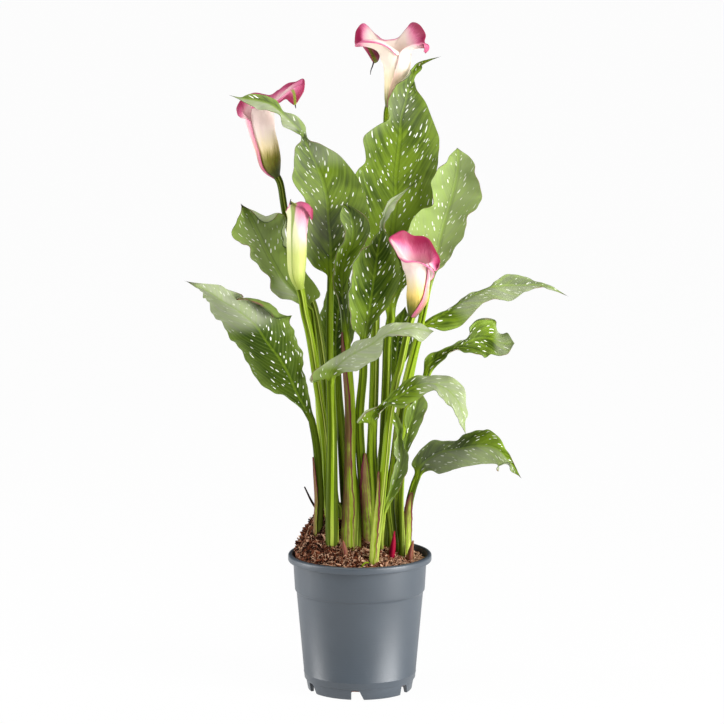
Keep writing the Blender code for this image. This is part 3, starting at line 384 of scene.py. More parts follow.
            ((113, -45, 246), (112, -58, 234), (117, -71, 221)),
            ((123, -56, 241), (122, -66, 232), (121, -78, 222)),
            ((131, -66, 230), (130, -73, 225), (128, -82, 222)),
            ((136, -76, 221), (136, -79, 218), (134, -83, 216)),
        ],
    },
    "leaf_small_right": {
        "foot": (38, -15), "thick": (3.0, 2.2), "tip": (55, -16, 276), "tone_and_shading": 0.4, "stem": [(37, -14, 177)],
        "blade": [
            ((37, -15, 212), (39, -14, 211), (41, -15, 212)),
            ((38, -17, 226), (41, -15, 226), (45, -17, 225)),
            ((41, -18, 241), (44, -16, 241), (52, -19, 242)),
            ((42, -19, 259), (48, -16, 255), (58, -20, 255)),
            ((48, -18, 268), (51, -16, 266), (60, -19, 266)),
        ],
    },
    "leaf_narrow_rolled": {
        "foot": (18, -14), "thick": (3.5, 2.6), "tip": (25, -26, 265), "tone_and_shading": 0.4, "stem": [(19, -18, 150)],
        "blade": [
            ((20, -24, 168), (21, -23, 166), (24, -24, 166)),
            ((27, -28, 191), (28, -24, 187), (32, -28, 184)),
            ((31, -29, 211), (34, -24, 204), (41, -29, 202)),
            ((31, -29, 223), (37, -24, 220), (42, -29, 221)),
            ((32, -28, 238), (36, -25, 237), (38, -28, 236)),
            ((30, -27, 250), (31, -26, 253), (35, -27, 254)),
        ],
    },
    "leaf_back_left": {
        "foot": (-9, 13), "thick": (6.0, 3.3), "tip": (-14, 86, 380), "tone_and_shading": -0.9,
        "stem": [(-12, 16, 170), (-16, 20, 225), (-19, 24, 261)],
        "blade": [
            ((-22, 26, 284), (-20, 26, 284), (-18, 26, 284)),
            ((-32, 29, 297), (-22, 32, 297), (-11, 29, 297)),
            ((-37, 36, 316), (-22, 42, 314), (-7, 36, 315)),
            ((-35, 49, 338), (-20, 55, 335), (-4, 49, 336)),
            ((-29, 64, 356), (-17, 70, 354), (-6, 64, 355)),
        ],
    },
    "leaf_back_right": {
        "foot": (14, 24), "thick": (5.0, 3.2), "tip": (42, 96, 337), "tone_and_shading": -0.8,
        "stem": [(16, 27, 168), (22, 32, 223), (28, 40, 259)],
        "blade": [
            ((30, 45, 276), (32, 45, 276), (34, 45, 276)), ((24, 50, 292), (33, 52, 292), (42, 50, 292)),
            ((23, 60, 309), (35, 64, 308), (47, 60, 309)), ((27, 75, 323), (38, 79, 322), (48, 75, 323)),
        ],
    },
}

# Every flower is a stalk, a spathe rolled into a funnel, and in an open one a spadix.
# A tube point is the funnel's centre and radius there, from its base up. The lip runs from the outer margin
# to the inner one: the angle round the throat, 0 at the front and 90 at the left, the lip's crest, its rolled
# edge, how far the pink reaches down from the edge, how strong it is at the crest, and how much wine it has.
# overlap is how much further the margins overlap at the foot, and twist how far they turn there, which a
# larger sweep keeps nearer the foot. apex is where the tip is along the lip, stripe where its green line
# starts, olive how olive the stalk and the funnel's foot are, flap the width and tint of the outer margin's
# pink, warm the funnel's gold, or green below 0, and tail the dry thread.
FLOWERS = {
    "left": {
        "foot": (-20, 14), "thick": (3.9, 3.1), "spadix": True,
        "overlap": 0.12, "twist": 30, "sweep": 0.8,
        "apex": 0.722, "stripe": 0.95, "olive": 0.8, "flap": (0.07, 0.8), "warm": 0.8,
        "tail": [(-57.5, -11, 534, 0.9), (-57, -12, 531.5, 0.6), (-56.5, -12, 529, 0.25)], "stem": [
            (-24, 14, 171), (-28, 14, 226), (-31, 12, 273), (-33, 11, 300), (-40, 9, 344), (-47, 8, 364),
            (-55, 6, 390), (-66, 3, 432),
        ],
        "tube": [
            (-74, 0, 467, 3.8), (-79, -1, 478, 9.2), (-82, -2, 492, 10.4), (-86, -3, 506, 11.2),
            (-88, -3, 517, 12.6),
        ],
        "lip": [
            (40, (-103, -14, 520), (-108, -15, 523), 10, 0.5, 0),
            (65, (-106, -11, 528), (-109, -12, 528), 14, 0.7, 0),
            (90, (-105, -4, 532), (-107, -4, 534), 16, 0.85, 0.5),
            (120, (-101, 3, 537), (-102, 3, 538), 14, 0.7, 0),
            (150, (-94, 9, 540), (-94, 10, 540), 10, 0.6, 0),
            (180, (-85, 12, 538), (-85, 13, 539), 9, 0.6, 0),
            (205, (-78, 12, 539), (-78, 13, 539), 14, 0.55, 0.2),
            (225, (-71, 10, 544), (-71, 10, 544), 22, 0.6, 0.3),
            (245, (-64, 6, 549), (-64, 6, 548), 26, 0.7, 0.3),
            (262, (-57, 1, 551), (-56, 1, 551), 26, 0.9, 0.4),
            (278, (-51, -4, 554), (-50, -5, 552), 24, 0.9, 0.5),
            (292, (-52, -9, 550), (-50, -13, 544), 32, 2.0, 0.5),
            (305, (-56, -12, 548), (-53, -17, 538), 34, 2.0, 0.5),
            (318, (-61, -14, 545), (-57, -19, 533), 34, 2.0, 0.5),
            (330, (-64, -15, 541), (-62, -18, 535), 30, 2.0, 0.4),
            (342, (-67, -16, 538), (-66, -17, 537), 20, 2.0, 0.3),
            (360, (-74, -18, 534), (-74, -18, 533), 6, 0.1, 0),
            (380, (-86, -18, 533), (-86, -18, 531), 5, 0.1, 0),
            (400, (-95, -16, 531), (-96, -16, 529), 4, 0, 0),
        ],
    },
    "top": {
        "foot": (8, 10), "thick": (4.8, 3.2), "spadix": True,
        "overlap": 0.2, "twist": 0, "sweep": 0.8,
        "apex": 0.67, "stripe": 1.1, "olive": 0.0, "flap": (0.08, 0.3), "warm": -0.1,
        "tail": [(12.6, 52, 566, 0.8), (11.5, 52, 562, 0.6), (10, 52, 558, 0.45), (9.5, 52, 554, 0.2)],
        "stem": [
            (8, 10, 172), (11, 10, 227), (13, 10, 282), (14, 13, 336), (16, 24, 380), (21, 36, 433),
            (24, 44, 487),
        ],
        "tube": [
            (26, 48, 525, 3.8), (29, 48, 540, 7.4), (32, 47, 552, 10.6), (33, 46, 563, 12.4),
            (32, 45, 571, 14.0),
        ],
        "lip": [
            (-10, (55, 24, 584), (57, 27, 576), 18, 0.5, 0.9),
            (-35, (60, 28, 582), (58, 29, 576), 22, 0.6, 0.9),
            (-65, (60, 33, 579), (58, 34, 576), 18, 0.6, 0.6),
            (-95, (57, 42, 584), (57, 44, 585), 20, 0.9, 0),
            (-120, (58, 50, 590), (58, 52, 590), 26, 1.0, 0),
            (-140, (53, 56, 598), (53, 57, 598), 22, 1.0, 0),
            (-155, (47, 60, 600), (47, 61, 600), 14, 0.8, 0),
            (-170, (42, 61, 594), (42, 62, 594), 6, 0.35, 0),
            (-185, (35, 62, 586), (35, 63, 586), 3, 0.2, 0),
            (-200, (27, 62, 584), (27, 63, 584), 2, 0.1, 0),
            (-215, (20, 62, 585), (20, 63, 585), 4, 0.2, 0),
            (-228, (13, 61, 590), (15, 64, 587), 14, 0.5, 0.3),
            (-240, (4, 57, 599), (18, 60, 570), 30, 0.9, 0.6),
            (-255, (-2, 51, 594), (13, 52, 565), 40, 1.0, 0.95),
            (-275, (-3, 42, 586), (6, 44, 580), 32, 1.0, 1.0),
            (-300, (-2, 36, 581), (-4, 36, 580), 14, 0.7, 0.7),
            (-325, (6, 30, 586), (2, 29, 584), 5, 0.3, 0), (-350, (18, 27, 586), (14, 26, 584), 3, 0.2, 0),
            (-375, (26, 27, 581), (25, 27, 580), 2, 0.1, 0), (-395, (33, 29, 573), (34, 29, 572), 1, 0, 0),
        ],
    },
    "right": {
        "foot": (13.5, -42), "thick": (3.8, 3.3), "spadix": True,
        "overlap": 0.3, "twist": 0, "sweep": 3.0,
        "apex": 0.5, "stripe": 2.0, "olive": 0.1, "flap": (0.06, 0.8), "warm": 1.0, "tail": [], "stem": [
            (19, -40, 181), (21, -40, 201), (23, -40, 222), (26, -41, 254), (32, -42, 289), (36, -43, 304),
            (42, -47, 334),
        ],
        "tube": [
            (46, -50, 349, 4.2), (50, -52, 364, 9.2), (51, -53, 376, 9.7), (51, -54, 387, 11.0),
            (50, -54, 394, 12.6),
        ],
        "lip": [
            (-45, (65, -62, 391), (70, -60, 394), 16, 0.85, 0),
            (-80, (69, -50, 400), (70, -50, 398), 22, 1.0, 0),
            (-110, (64, -45, 409), (65, -44, 409), 32, 1.0, 0),
            (-140, (59, -41, 416), (60, -40, 416), 40, 1.0, 0),
            (-160, (53, -40, 418), (53, -39, 418), 44, 1.0, 0),
            (-180, (46, -40, 419), (46, -39, 419), 44, 1.0, 0),
            (-205, (38, -42, 423), (38, -41, 423), 40, 1.0, 0),
            (-230, (32, -48, 421), (31, -48, 421), 30, 0.9, 0),
            (-260, (27, -55, 419), (26, -56, 418), 14, 0.8, 0),
            (-285, (30, -61, 415), (32, -63, 408), 6, 0.5, 0),
            (-305, (34, -66, 410), (35, -68, 403), 4, 0.3, 0),
            (-330, (40, -70, 403), (39, -71, 400), 4, 0.2, 0),
            (-350, (47, -71, 400), (47, -72, 399), 3, 0.1, 0),
            (-375, (55, -70, 398), (55, -70, 398), 3, 0.1, 0),
            (-395, (63, -66, 392), (65, -66, 389), 3, 0.1, 0),
            (-415, (62, -64, 384), (62, -63, 382), 2, 0.05, 0),
        ],
    },
    "bud": {
        "foot": (-28, -4), "thick": (4.0, 3.6), "spadix": False,
        "overlap": 0.1, "twist": 0, "sweep": 0.8,
        "apex": 0.56, "stripe": -1.0, "olive": 0.0, "flap": (0.03, 0.4), "warm": -1.0,
        "tail": [(-60.5, -42, 447, 0.9), (-61, -42, 449.5, 0.6), (-60.5, -42, 452, 0.2)], "stem": [
            (-29, -7, 175), (-30, -10, 216), (-33, -12, 248), (-37, -14, 275), (-44, -22, 324),
            (-49, -27, 348),
        ],
        "tube": [
            (-53, -31, 371, 4.0), (-56, -33, 386, 7.6), (-56, -34, 404, 8.8), (-56, -35, 422, 8.9),
            (-55, -35, 432, 9.2),
        ],
        "lip": [
            (-175, (-49, -29, 445), (-48, -31, 443), 40, 0.9, 0.6),
            (-140, (-46, -30, 444), (-44, -32, 441), 44, 0.95, 0.8),
            (-105, (-43, -34, 442), (-42, -37, 436), 48, 1.0, 0.9),
            (-70, (-43, -39, 441), (-43, -41, 433), 48, 0.9, 0.9),
            (-45, (-45, -42, 445), (-44, -44, 437), 48, 0.7, 0.9),
            (-15, (-50, -43, 448), (-49, -46, 444), 42, 0.6, 0.8),
            (15, (-55, -42, 448), (-54, -44, 446), 20, 0.4, 0.5),
            (30, (-60, -41, 446), (-61, -42, 449), 6, 0, 0),
            (60, (-63, -39, 443), (-63, -38, 444), 2, 0, 0),
            (90, (-65, -36, 439), (-64, -34, 440), 2, 0.1, 0),
            (130, (-62, -31, 444), (-62, -32, 445), 3, 0.2, 0),
            (180, (-56, -28, 446), (-55, -31, 446), 8, 0.6, 0),
            (230, (-51, -28, 445), (-51, -31, 445), 10, 0.8, 0),
        ],
    },
}

# Papery sheath leaves wrapped part way round a stem: the stem, the height of the tip above the soil,
# the angle wrapped and the compass angle of its middle, both in degrees, and how much of it is dark.
SHEATHS = {
    "sheath_centre": {"holds": "leaf_centre_hood", "tip": 190, "wrap": 116, "facing": 226, "cover": 1.0},
    "sheath_right_flower": {"holds": "scape_right", "tip": 82, "wrap": 170, "facing": 200, "cover": 0.5},
    "sheath_centre_back": {"holds": "leaf_centre_front", "tip": 80, "wrap": 190, "facing": 310, "cover": 0.6},
    "sheath_right": {"holds": "leaf_right_low", "tip": 60, "wrap": 150, "facing": 265, "cover": 0.6},
    "sheath_left": {"holds": "leaf_lower_left", "tip": 66, "wrap": 60, "facing": 222, "cover": 1.2},
}

# Young shoots and a dry stick, each a tapering rod: its foot, then its points and radii above the soil.
SHOOTS = {
    "sprout_crimson": {
        "foot": (29, -23), "slot": "sprout",
        "rise": [(0, 0, 2, 2.6), (1, -1, 12, 2.3), (2, -2, 24, 0.5)],
    },
    "sprout_purple": {
        "foot": (-13, -38), "slot": "sheath",
        "rise": [(0, 0, 2, 2.4), (-1, 0, 7, 1.9), (-2, 0, 13, 0.5)],
    },
    "sprout_papery": {
        "foot": (45, -20), "slot": "sheath",
        "rise": [(0, 0, 2, 3.0), (1, 0, 10, 2.4), (3, 1, 19, 0.6)],
    },
    "dry_stick": {
        "foot": (-38, 1), "slot": "dry_stick",
        "rise": [(0, 0, 3, 1.1), (-6, -1, 14, 1.0), (-12, -2, 27, 0.6)],
    },
}

# Pale roots on the soil, as points.
ROOTLETS = [
    [(0, -56, 123.5), (2, -57.5, 125), (4, -56, 127.5), (7, -54, 128), (8, -51, 126)],
]


def colour(red, green, blue):
    """Linear colour from the 0 to 255 values of a colour card."""
    return tuple(
        ((v / 255.0 + 0.055) / 1.055) ** 2.4 if v > 10 else v / 255.0 / 12.92 for v in (red, green, blue)
    )


def colour_property(name, description, *card):
    """A colour setting with its default from a colour card."""
    return FloatVectorProperty(
        name=name, description=description, subtype="COLOR", size=3, min=0.0, max=1.0, default=colour(*card)
    )


def count_property(name, description, default, least):
    """A setting that counts something."""
    return IntProperty(name=name, description=description, default=default, min=least)


def length_property(name, description, default):
    """A length setting, in metres."""
    return FloatProperty(name=name, description=description, default=default, unit="LENGTH")


def power_property(name, description, default):
    """A lamp's power setting, in watts."""
    return FloatProperty(name=name, description=description, default=default, unit="POWER")


class PlantColours(bpy.types.PropertyGroup):
    """Colours of the plant, its soil and its pot."""

    leaf_dark: colour_property("Dark leaf", "Darkest green of the blades", 40, 60, 3)
    leaf_mid: colour_property("Leaf", "Main green of the blades", 106, 131, 26)
    leaf_light: colour_property("Light leaf", "Yellow-green of the young blades", 152, 177, 84)
    # The underside colour is also painted on the blades' fronts as sheen.
    underside_and_sheen: colour_property("Underside", "Pale back of the blades", 164, 170, 144)
    vein: colour_property("Rib", "Midrib of the blades", 118, 146, 28)
    spot: colour_property("Spot", "Pale windows in the blades", 248, 250, 238)
    tail: colour_property("Tail", "Dry threads at the tips", 30, 20, 18)
    stalk_pale: colour_property("Stalk foot", "Pale green low on the stalks", 192, 204, 96)
    stalk_green: colour_property("Stalk", "Green of the stalks", 126, 152, 24)
    stalk_olive: colour_property("Stalk shade", "Olive streaks of the stalks", 60, 76, 4)
    ivory: colour_property("Ivory", "Middle of the spathes", 252, 245, 218)
    gold: colour_property("Gold", "Warm yellow below the ivory", 232, 200, 104)
    blush: colour_property("Blush", "Pale pink of the spathes", 242, 206, 206)
    rose: colour_property("Rose", "Pink margins of the spathes", 222, 104, 150)
    wine: colour_property("Wine", "Dark lip inside the spathes", 146, 20, 66)
    throat: colour_property("Throat", "Olive foot of the spathes", 122, 112, 10)
    sheath: colour_property("Sheath", "Purple-brown of the papery sheaths", 106, 44, 54)
    crimson: colour_property("Shoot", "Crimson of the young shoot", 142, 8, 44)
    stick: colour_property("Stick", "Dry brown stick", 54, 36, 34)
    spadix: colour_property("Spadix", "Yellow of the spadices", 226, 190, 70)
    coir_dark: colour_property("Dark coir", "Shadowed coir of the soil", 38, 18, 12)
    coir: colour_property("Coir", "Reddish-brown coir of the soil", 128, 72, 48)
    coir_light: colour_property("Light coir", "Dry tan fibres of the soil", 240, 196, 162)
    pot: colour_property("Pot", "Slate grey of the pot's plastic", 67, 76, 85)


class PlantShape(bpy.types.PropertyGroup):
    """Fineness and relief of the plant's meshes."""

    blade_columns: count_property("Blade columns", "Columns on each half of a blade", 16, 6)
    row_step: length_property("Row step", "Spacing of rows along a blade", 0.0017)
    margin_wave: length_property("Margin wave", "Height of the margins' waves", 0.0012)
    vein_relief: length_property("Vein relief", "Height of the side veins", 0.00004)
    spathe_columns: count_property("Spathe columns", "Columns round a spathe", 150, 24)
    spathe_wall: length_property("Spathe wall", "Thickness of a spathe", 0.0008)
    coir_chips: count_property("Coir chips", "Chips lying on the soil", 2600, 0)
    coir_fibres: count_property("Coir fibres", "Fibres lying on the soil", 1700, 0)
    turn_steps: count_property("Turned steps", "Steps round the turned pot", 144, 36)


class StudioLight(bpy.types.PropertyGroup):
    """Studio round the plant."""

    key: power_property("Key", "Power of the lamp on the right", 35.0)
    fill: power_property("Fill", "Power of the lamp on the left", 17.0)
    top: power_property("Top", "Power of the lamp overhead", 16.0)
    low: power_property("Low", "Power of the low lamp by the pot", 6.2)
    edge: power_property("Edge", "Power of the low lamp on the left", 3.4)
    sky: FloatProperty(name="Sky", description="Strength of the surroundings", default=0.06, min=0.0)
    floor: colour_property("Floor", "Pale floor", 242, 242, 242)
    distance: length_property("Camera distance", "From the plant to the camera", 3.0)
    lens: FloatProperty(name="Lens", description="Focal length in millimetres", default=168.17, min=20.0)


# Curves


def smooth_curve(points, places):
    """Points of the smooth curve through points, at places counted in points."""
    points, places = np.asarray(points, float), np.asarray(places, float)
    last = len(points) - 1
    index = np.clip(places.astype(int), 0, last - 1)
    share = (places - index)[:, None]
    before, start = points[np.maximum(index - 1, 0)], points[index]
    end, after = points[index + 1], points[np.minimum(index + 2, last)]
    linear = (end - before) * 0.5
    square = before - start * 2.5 + end * 2.0 - after * 0.5
    cube = (start - end) * 1.5 + (after - before) * 0.5
    return start + linear * share + square * share**2 + cube * share**3


def run_along(points):
    """Length along a row of points up to each."""
    return np.concatenate([[0.0], np.cumsum(np.linalg.norm(np.diff(points, axis=0), axis=1))])


def even_places(points, step):
    """Places along the smooth curve that lie a step apart, both ends included."""
    last = len(points) - 1
    fine = np.linspace(0.0, last, 40 * last + 1)
    run = run_along(smooth_curve(np.asarray(points, float)[:, :3], fine))
    count = max(2, int(math.ceil(run[-1] / step)))
    return np.interp(np.linspace(0.0, run[-1], count + 1), run, fine)


def unit(vectors):
    """Vectors of length one."""
    return vectors / np.maximum(np.linalg.norm(vectors, axis=-1, keepdims=True), 1e-9)


def fade(values, start, end):
    """Smooth step from 0 at start to 1 at end."""
    share = np.clip((np.asarray(values, float) - start) / (end - start), 0.0, 1.0)
    return share * share * (3.0 - 2.0 * share)


def between(places, start, end):
    """One between two rows of a blade, fading out over a row at each."""
    opening = fade(places, start - ROW_FADE, start + ROW_FADE)
    return opening * (1.0 - fade(places, end - ROW_FADE, end + ROW_FADE))


def over_columns(values, columns):
    """What each row of a grid holds, repeated over its columns."""
    return np.repeat(values[:, None], columns + 1, axis=1)


def hump(x, y, centre, spread):
    """A smooth hump of height one in plan."""
    return math.exp(-((x - centre[0]) ** 2 + (y - centre[1]) ** 2) / (2.0 * spread**2))


def soil_height(x, y):
    """Height of the soil's surface at a place in plan."""
    inside = max(0.0, 1.0 - (math.hypot(x, y) / SOIL_EDGE_RADIUS) ** 4)
    mound = MOUND_HEIGHT * hump(x, y, MOUND_CENTRE, MOUND_SPREAD)
    crown = CROWN_HEIGHT * hump(x, y, CROWN_CENTRE, CROWN_SPREAD)
    return SOIL_LEVEL - SOIL_SLOPE * x + inside * (mound + crown)


def stem_points(foot, thick, points, top):
    """A stem from its socket in the soil to its top, as rows of x, y, z and radius."""
    x, y = foot
    ground = soil_height(x, y)
    places = [(x, y, ground - SOCKET_DEPTH + GAP), (x, y, ground + STRAIGHT_RISE), *points, *top]
    height = places[-1][2] - ground
    path = []
    for place in places:
        share = max(0.0, (place[2] - ground) / height)
        radius = thick[0] + (thick[1] - thick[0]) * share
        path.append((*place[:3], place[3] if len(place) > 3 else radius))
    return np.array(path)


def round_rings(centres, radii, side, columns):
    """Round sections along a stem, each from -side through the side's left-hand normal."""
    along = unit(np.gradient(centres, axis=0))
    across = unit(side - along * (along @ side)[:, None])
    outward = np.cross(across, along)
    turn = np.linspace(0.0, math.tau, columns + 1)[None, :, None]
    ring = outward[:, None, :] * np.sin(turn) - across[:, None, :] * np.cos(turn)
    return centres[:, None, :] + ring * np.asarray(radii)[:, None, None]


# Meshes


def mesh_of(name, bm):
    """A mesh from a bmesh, which is freed."""
    mesh = bpy.data.meshes.new(name)
    bm.to_mesh(mesh)
    bm.free()
    return mesh


def added(name, data):
    """A new object in the scene."""
    thing = bpy.data.objects.new(name, data)
    bpy.context.scene.collection.objects.link(thing)
    return thing


def bent_grid(name, points, uvs=None, values=None):
    """A bmesh of a grid bent to points, an array of rows and columns in millimetres."""
    rows, columns = points.shape[0] - 1, points.shape[1] - 1
    start = bmesh.new()
    for uv_name in uvs or {}:
        start.loops.layers.uv.new(uv_name)
    bmesh.ops.create_grid(start, x_segments=columns, y_segments=rows, size=0.5)
    mesh = mesh_of(name, start)
    flat = np.empty(len(mesh.vertices) * 3)
    mesh.vertices.foreach_get("co", flat)
    column = np.rint((flat[0::3] + 0.5) * columns).astype(int)
    row = np.rint((flat[1::3] + 0.5) * rows).astype(int)
    mesh.vertices.foreach_set("co", ((points[row, column] * MM) + POT_PLACE).ravel())
    corner = np.empty(len(mesh.loops), int)
    mesh.loops.foreach_get("vertex_index", corner)
    for uv_name, uv in (uvs or {}).items():
        mesh.uv_layers[uv_name].data.foreach_set("uv", uv[row[corner], column[corner]].ravel())
    for value_name, value in (values or {}).items():
        layer = mesh.attributes.new(value_name, "FLOAT", "POINT")
        layer.data.foreach_set("value", np.ascontiguousarray(value[row, column]))
    bm = bmesh.new()
    bm.from_mesh(mesh)
    bpy.data.meshes.remove(mesh)
    return bm


def closed(bm):
    """Merge a grid's meeting edges and turn its faces outwards."""
    bmesh.ops.remove_doubles(bm, verts=bm.verts, dist=0.000002)
    if bm.calc_volume(signed=True) < 0.0:
        bmesh.ops.reverse_faces(bm, faces=bm.faces)
    return bm


def finished(name, bm, materials, nodes=()):
    """A smooth piece from a bmesh, in the scene, riding on the body and standing for CAD nodes."""
    mesh = mesh_of(name, bm)
    mesh.shade_smooth()
    piece = added(name, mesh)
    for material in materials:
        mesh.materials.append(material)
    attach(piece, BODY)
    if nodes:
        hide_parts(*nodes)
    return piece


def walled(piece, thickness, inner=None):
    """Give a sheet its thickness, inwards; the inner face may have a material of its own."""
    wall = piece.modifiers.new("wall", "SOLIDIFY")
    wall.thickness = thickness
    wall.offset = -1.0
    if inner is not None:
        piece.data.materials.append(inner)
        wall.material_offset = 1


# Materials


class Value:
    """A number that changes over a surface: a socket, with arithmetic that adds Math nodes."""

    def __init__(self, finish, socket):
        self.finish = finish
        self.socket = socket

    def maths(self, operation, first, second=0.0):
        return self.finish.node("ShaderNodeMath", {"operation": operation}, {0: first, 1: second})

    def __add__(self, other):
        return self.maths("ADD", self, other)

    def __radd__(self, other):
        return self.maths("ADD", other, self)

    def __sub__(self, other):
        return self.maths("SUBTRACT", self, other)

    def __rsub__(self, other):
        return self.maths("SUBTRACT", other, self)

    def __mul__(self, other):
        return self.maths("MULTIPLY", self, other)

    def __rmul__(self, other):
        return self.maths("MULTIPLY", other, self)

    def __pow__(self, other):
        return self.maths("POWER", self, other)

    def __abs__(self):
        return self.maths("ABSOLUTE", self)

    def sine(self):
        return self.maths("SINE", self)

    def most(self, other):
        return self.maths("MAXIMUM", self, other)


class Finish:
    """A material under construction."""

    def __init__(self, name, specular=0.5):
        self.material = bpy.data.materials.new(name)
        self.material.use_nodes = True
        self.tree = self.material.node_tree
        self.shader = self.tree.nodes["Principled BSDF"]
        self.shader.inputs["Specular IOR Level"].default_value = specular

    def node(self, kind, settings=None, values=None, output=0):
        """Add a node: its settings first, then the numbers or links of its sockets."""
        node = self.tree.nodes.new(kind)
        for name, setting in (settings or {}).items():
            setattr(node, name, setting)
        for key, value in (values or {}).items():
            if isinstance(value, Value):
                self.tree.links.new(value.socket, node.inputs[key])
            else:
                node.inputs[key].default_value = value
        return Value(self, node.outputs[output])

    def attribute(self, name):
        return self.node("ShaderNodeAttribute", {"attribute_name": name}, output="Fac")

    def sheet_place(self, name):
        """The two numbers of a UV map."""
        uv = self.node("ShaderNodeUVMap", {"uv_map": name})
        return [self.node("ShaderNodeSeparateXYZ", {}, {0: uv}, output=k) for k in range(2)]

    def place(self):
        """Position on the object, in metres."""
        return self.node("ShaderNodeTexCoord", {}, {}, output="Object")

    def join(self, x, y, z=0.0):
        return self.node("ShaderNodeCombineXYZ", {}, {0: x, 1: y, 2: z})

    def height(self):
        return self.node("ShaderNodeSeparateXYZ", {}, {0: self.place()}, output=2)

    def noise(self, where, scale, detail=3.0, roughness=0.55):
        values = {"Vector": where, "Scale": scale, "Detail": detail, "Roughness": roughness}
        return self.node("ShaderNodeTexNoise", {"noise_dimensions": "3D"}, values)

    def stretched(self, where, x, y, z):
        """A position scaled along each axis."""
        return self.node("ShaderNodeVectorMath", {"operation": "MULTIPLY"}, {0: where, 1: (x, y, z)})

    def step(self, value, start, end):
        """Smooth step from 0 to 1 as a value goes from start to end."""
        values = {"Value": value, "From Min": start, "From Max": end}
        return self.node("ShaderNodeMapRange", {"interpolation_type": "SMOOTHSTEP"}, values)

    def mix(self, share, first, second):
        """Mix two colours."""
        pair = [value if isinstance(value, Value) else (*value, 1.0) for value in (first, second)]
        settings = {"data_type": "RGBA", "clamp_factor": True}
        return self.node("ShaderNodeMix", settings, {0: share, 6: pair[0], 7: pair[1]}, output=2)

    def paint(self, body, *coats):
        """Lay coats over a colour, each a share and a colour of its own."""
        for share, tint in coats:
            body = self.mix(share, body, tint)
        return body

    def set(self, name, value):
        """Link or set a socket of the shader."""
        if isinstance(value, Value):
            self.tree.links.new(value.socket, self.shader.inputs[name])
        else:
            self.shader.inputs[name].default_value = value

    def done(self, body, roughness, relief, depth):
        """The material, with its colour, its roughness and a relief of some depth in metres."""
        self.set("Base Color", body)
        self.set("Roughness", roughness)
        values = {"Strength": 1.0, "Distance": depth, "Height": relief}
        self.set("Normal", self.node("ShaderNodeBump", {}, values))
        return self.material


def windows(finish, vein_run, across):
    """Pale windows of many sizes between the veins, thinner in some patches."""
    cell = {"Vector": finish.join(vein_run * 1.8, across * 2.0), "Scale": 1.0, "Randomness": 0.95}
    flat = {"voronoi_dimensions": "2D", "feature": "F1"}
    distance = finish.node("ShaderNodeTexVoronoi", flat, cell, output="Distance")
    chance = finish.node("ShaderNodeTexVoronoi", flat, cell, output="Color")
    size, luck = (finish.node("ShaderNodeSeparateColor", {}, {0: chance}, output=k) for k in range(2))
    radius = size * size * 0.17 + 0.08
    patches = finish.noise(finish.place(), 30.0, 1.0)
    return finish.step(distance, radius, radius * 0.8) * finish.step(luck + (patches - 0.5) * 1.3, 0.4, 0.44)


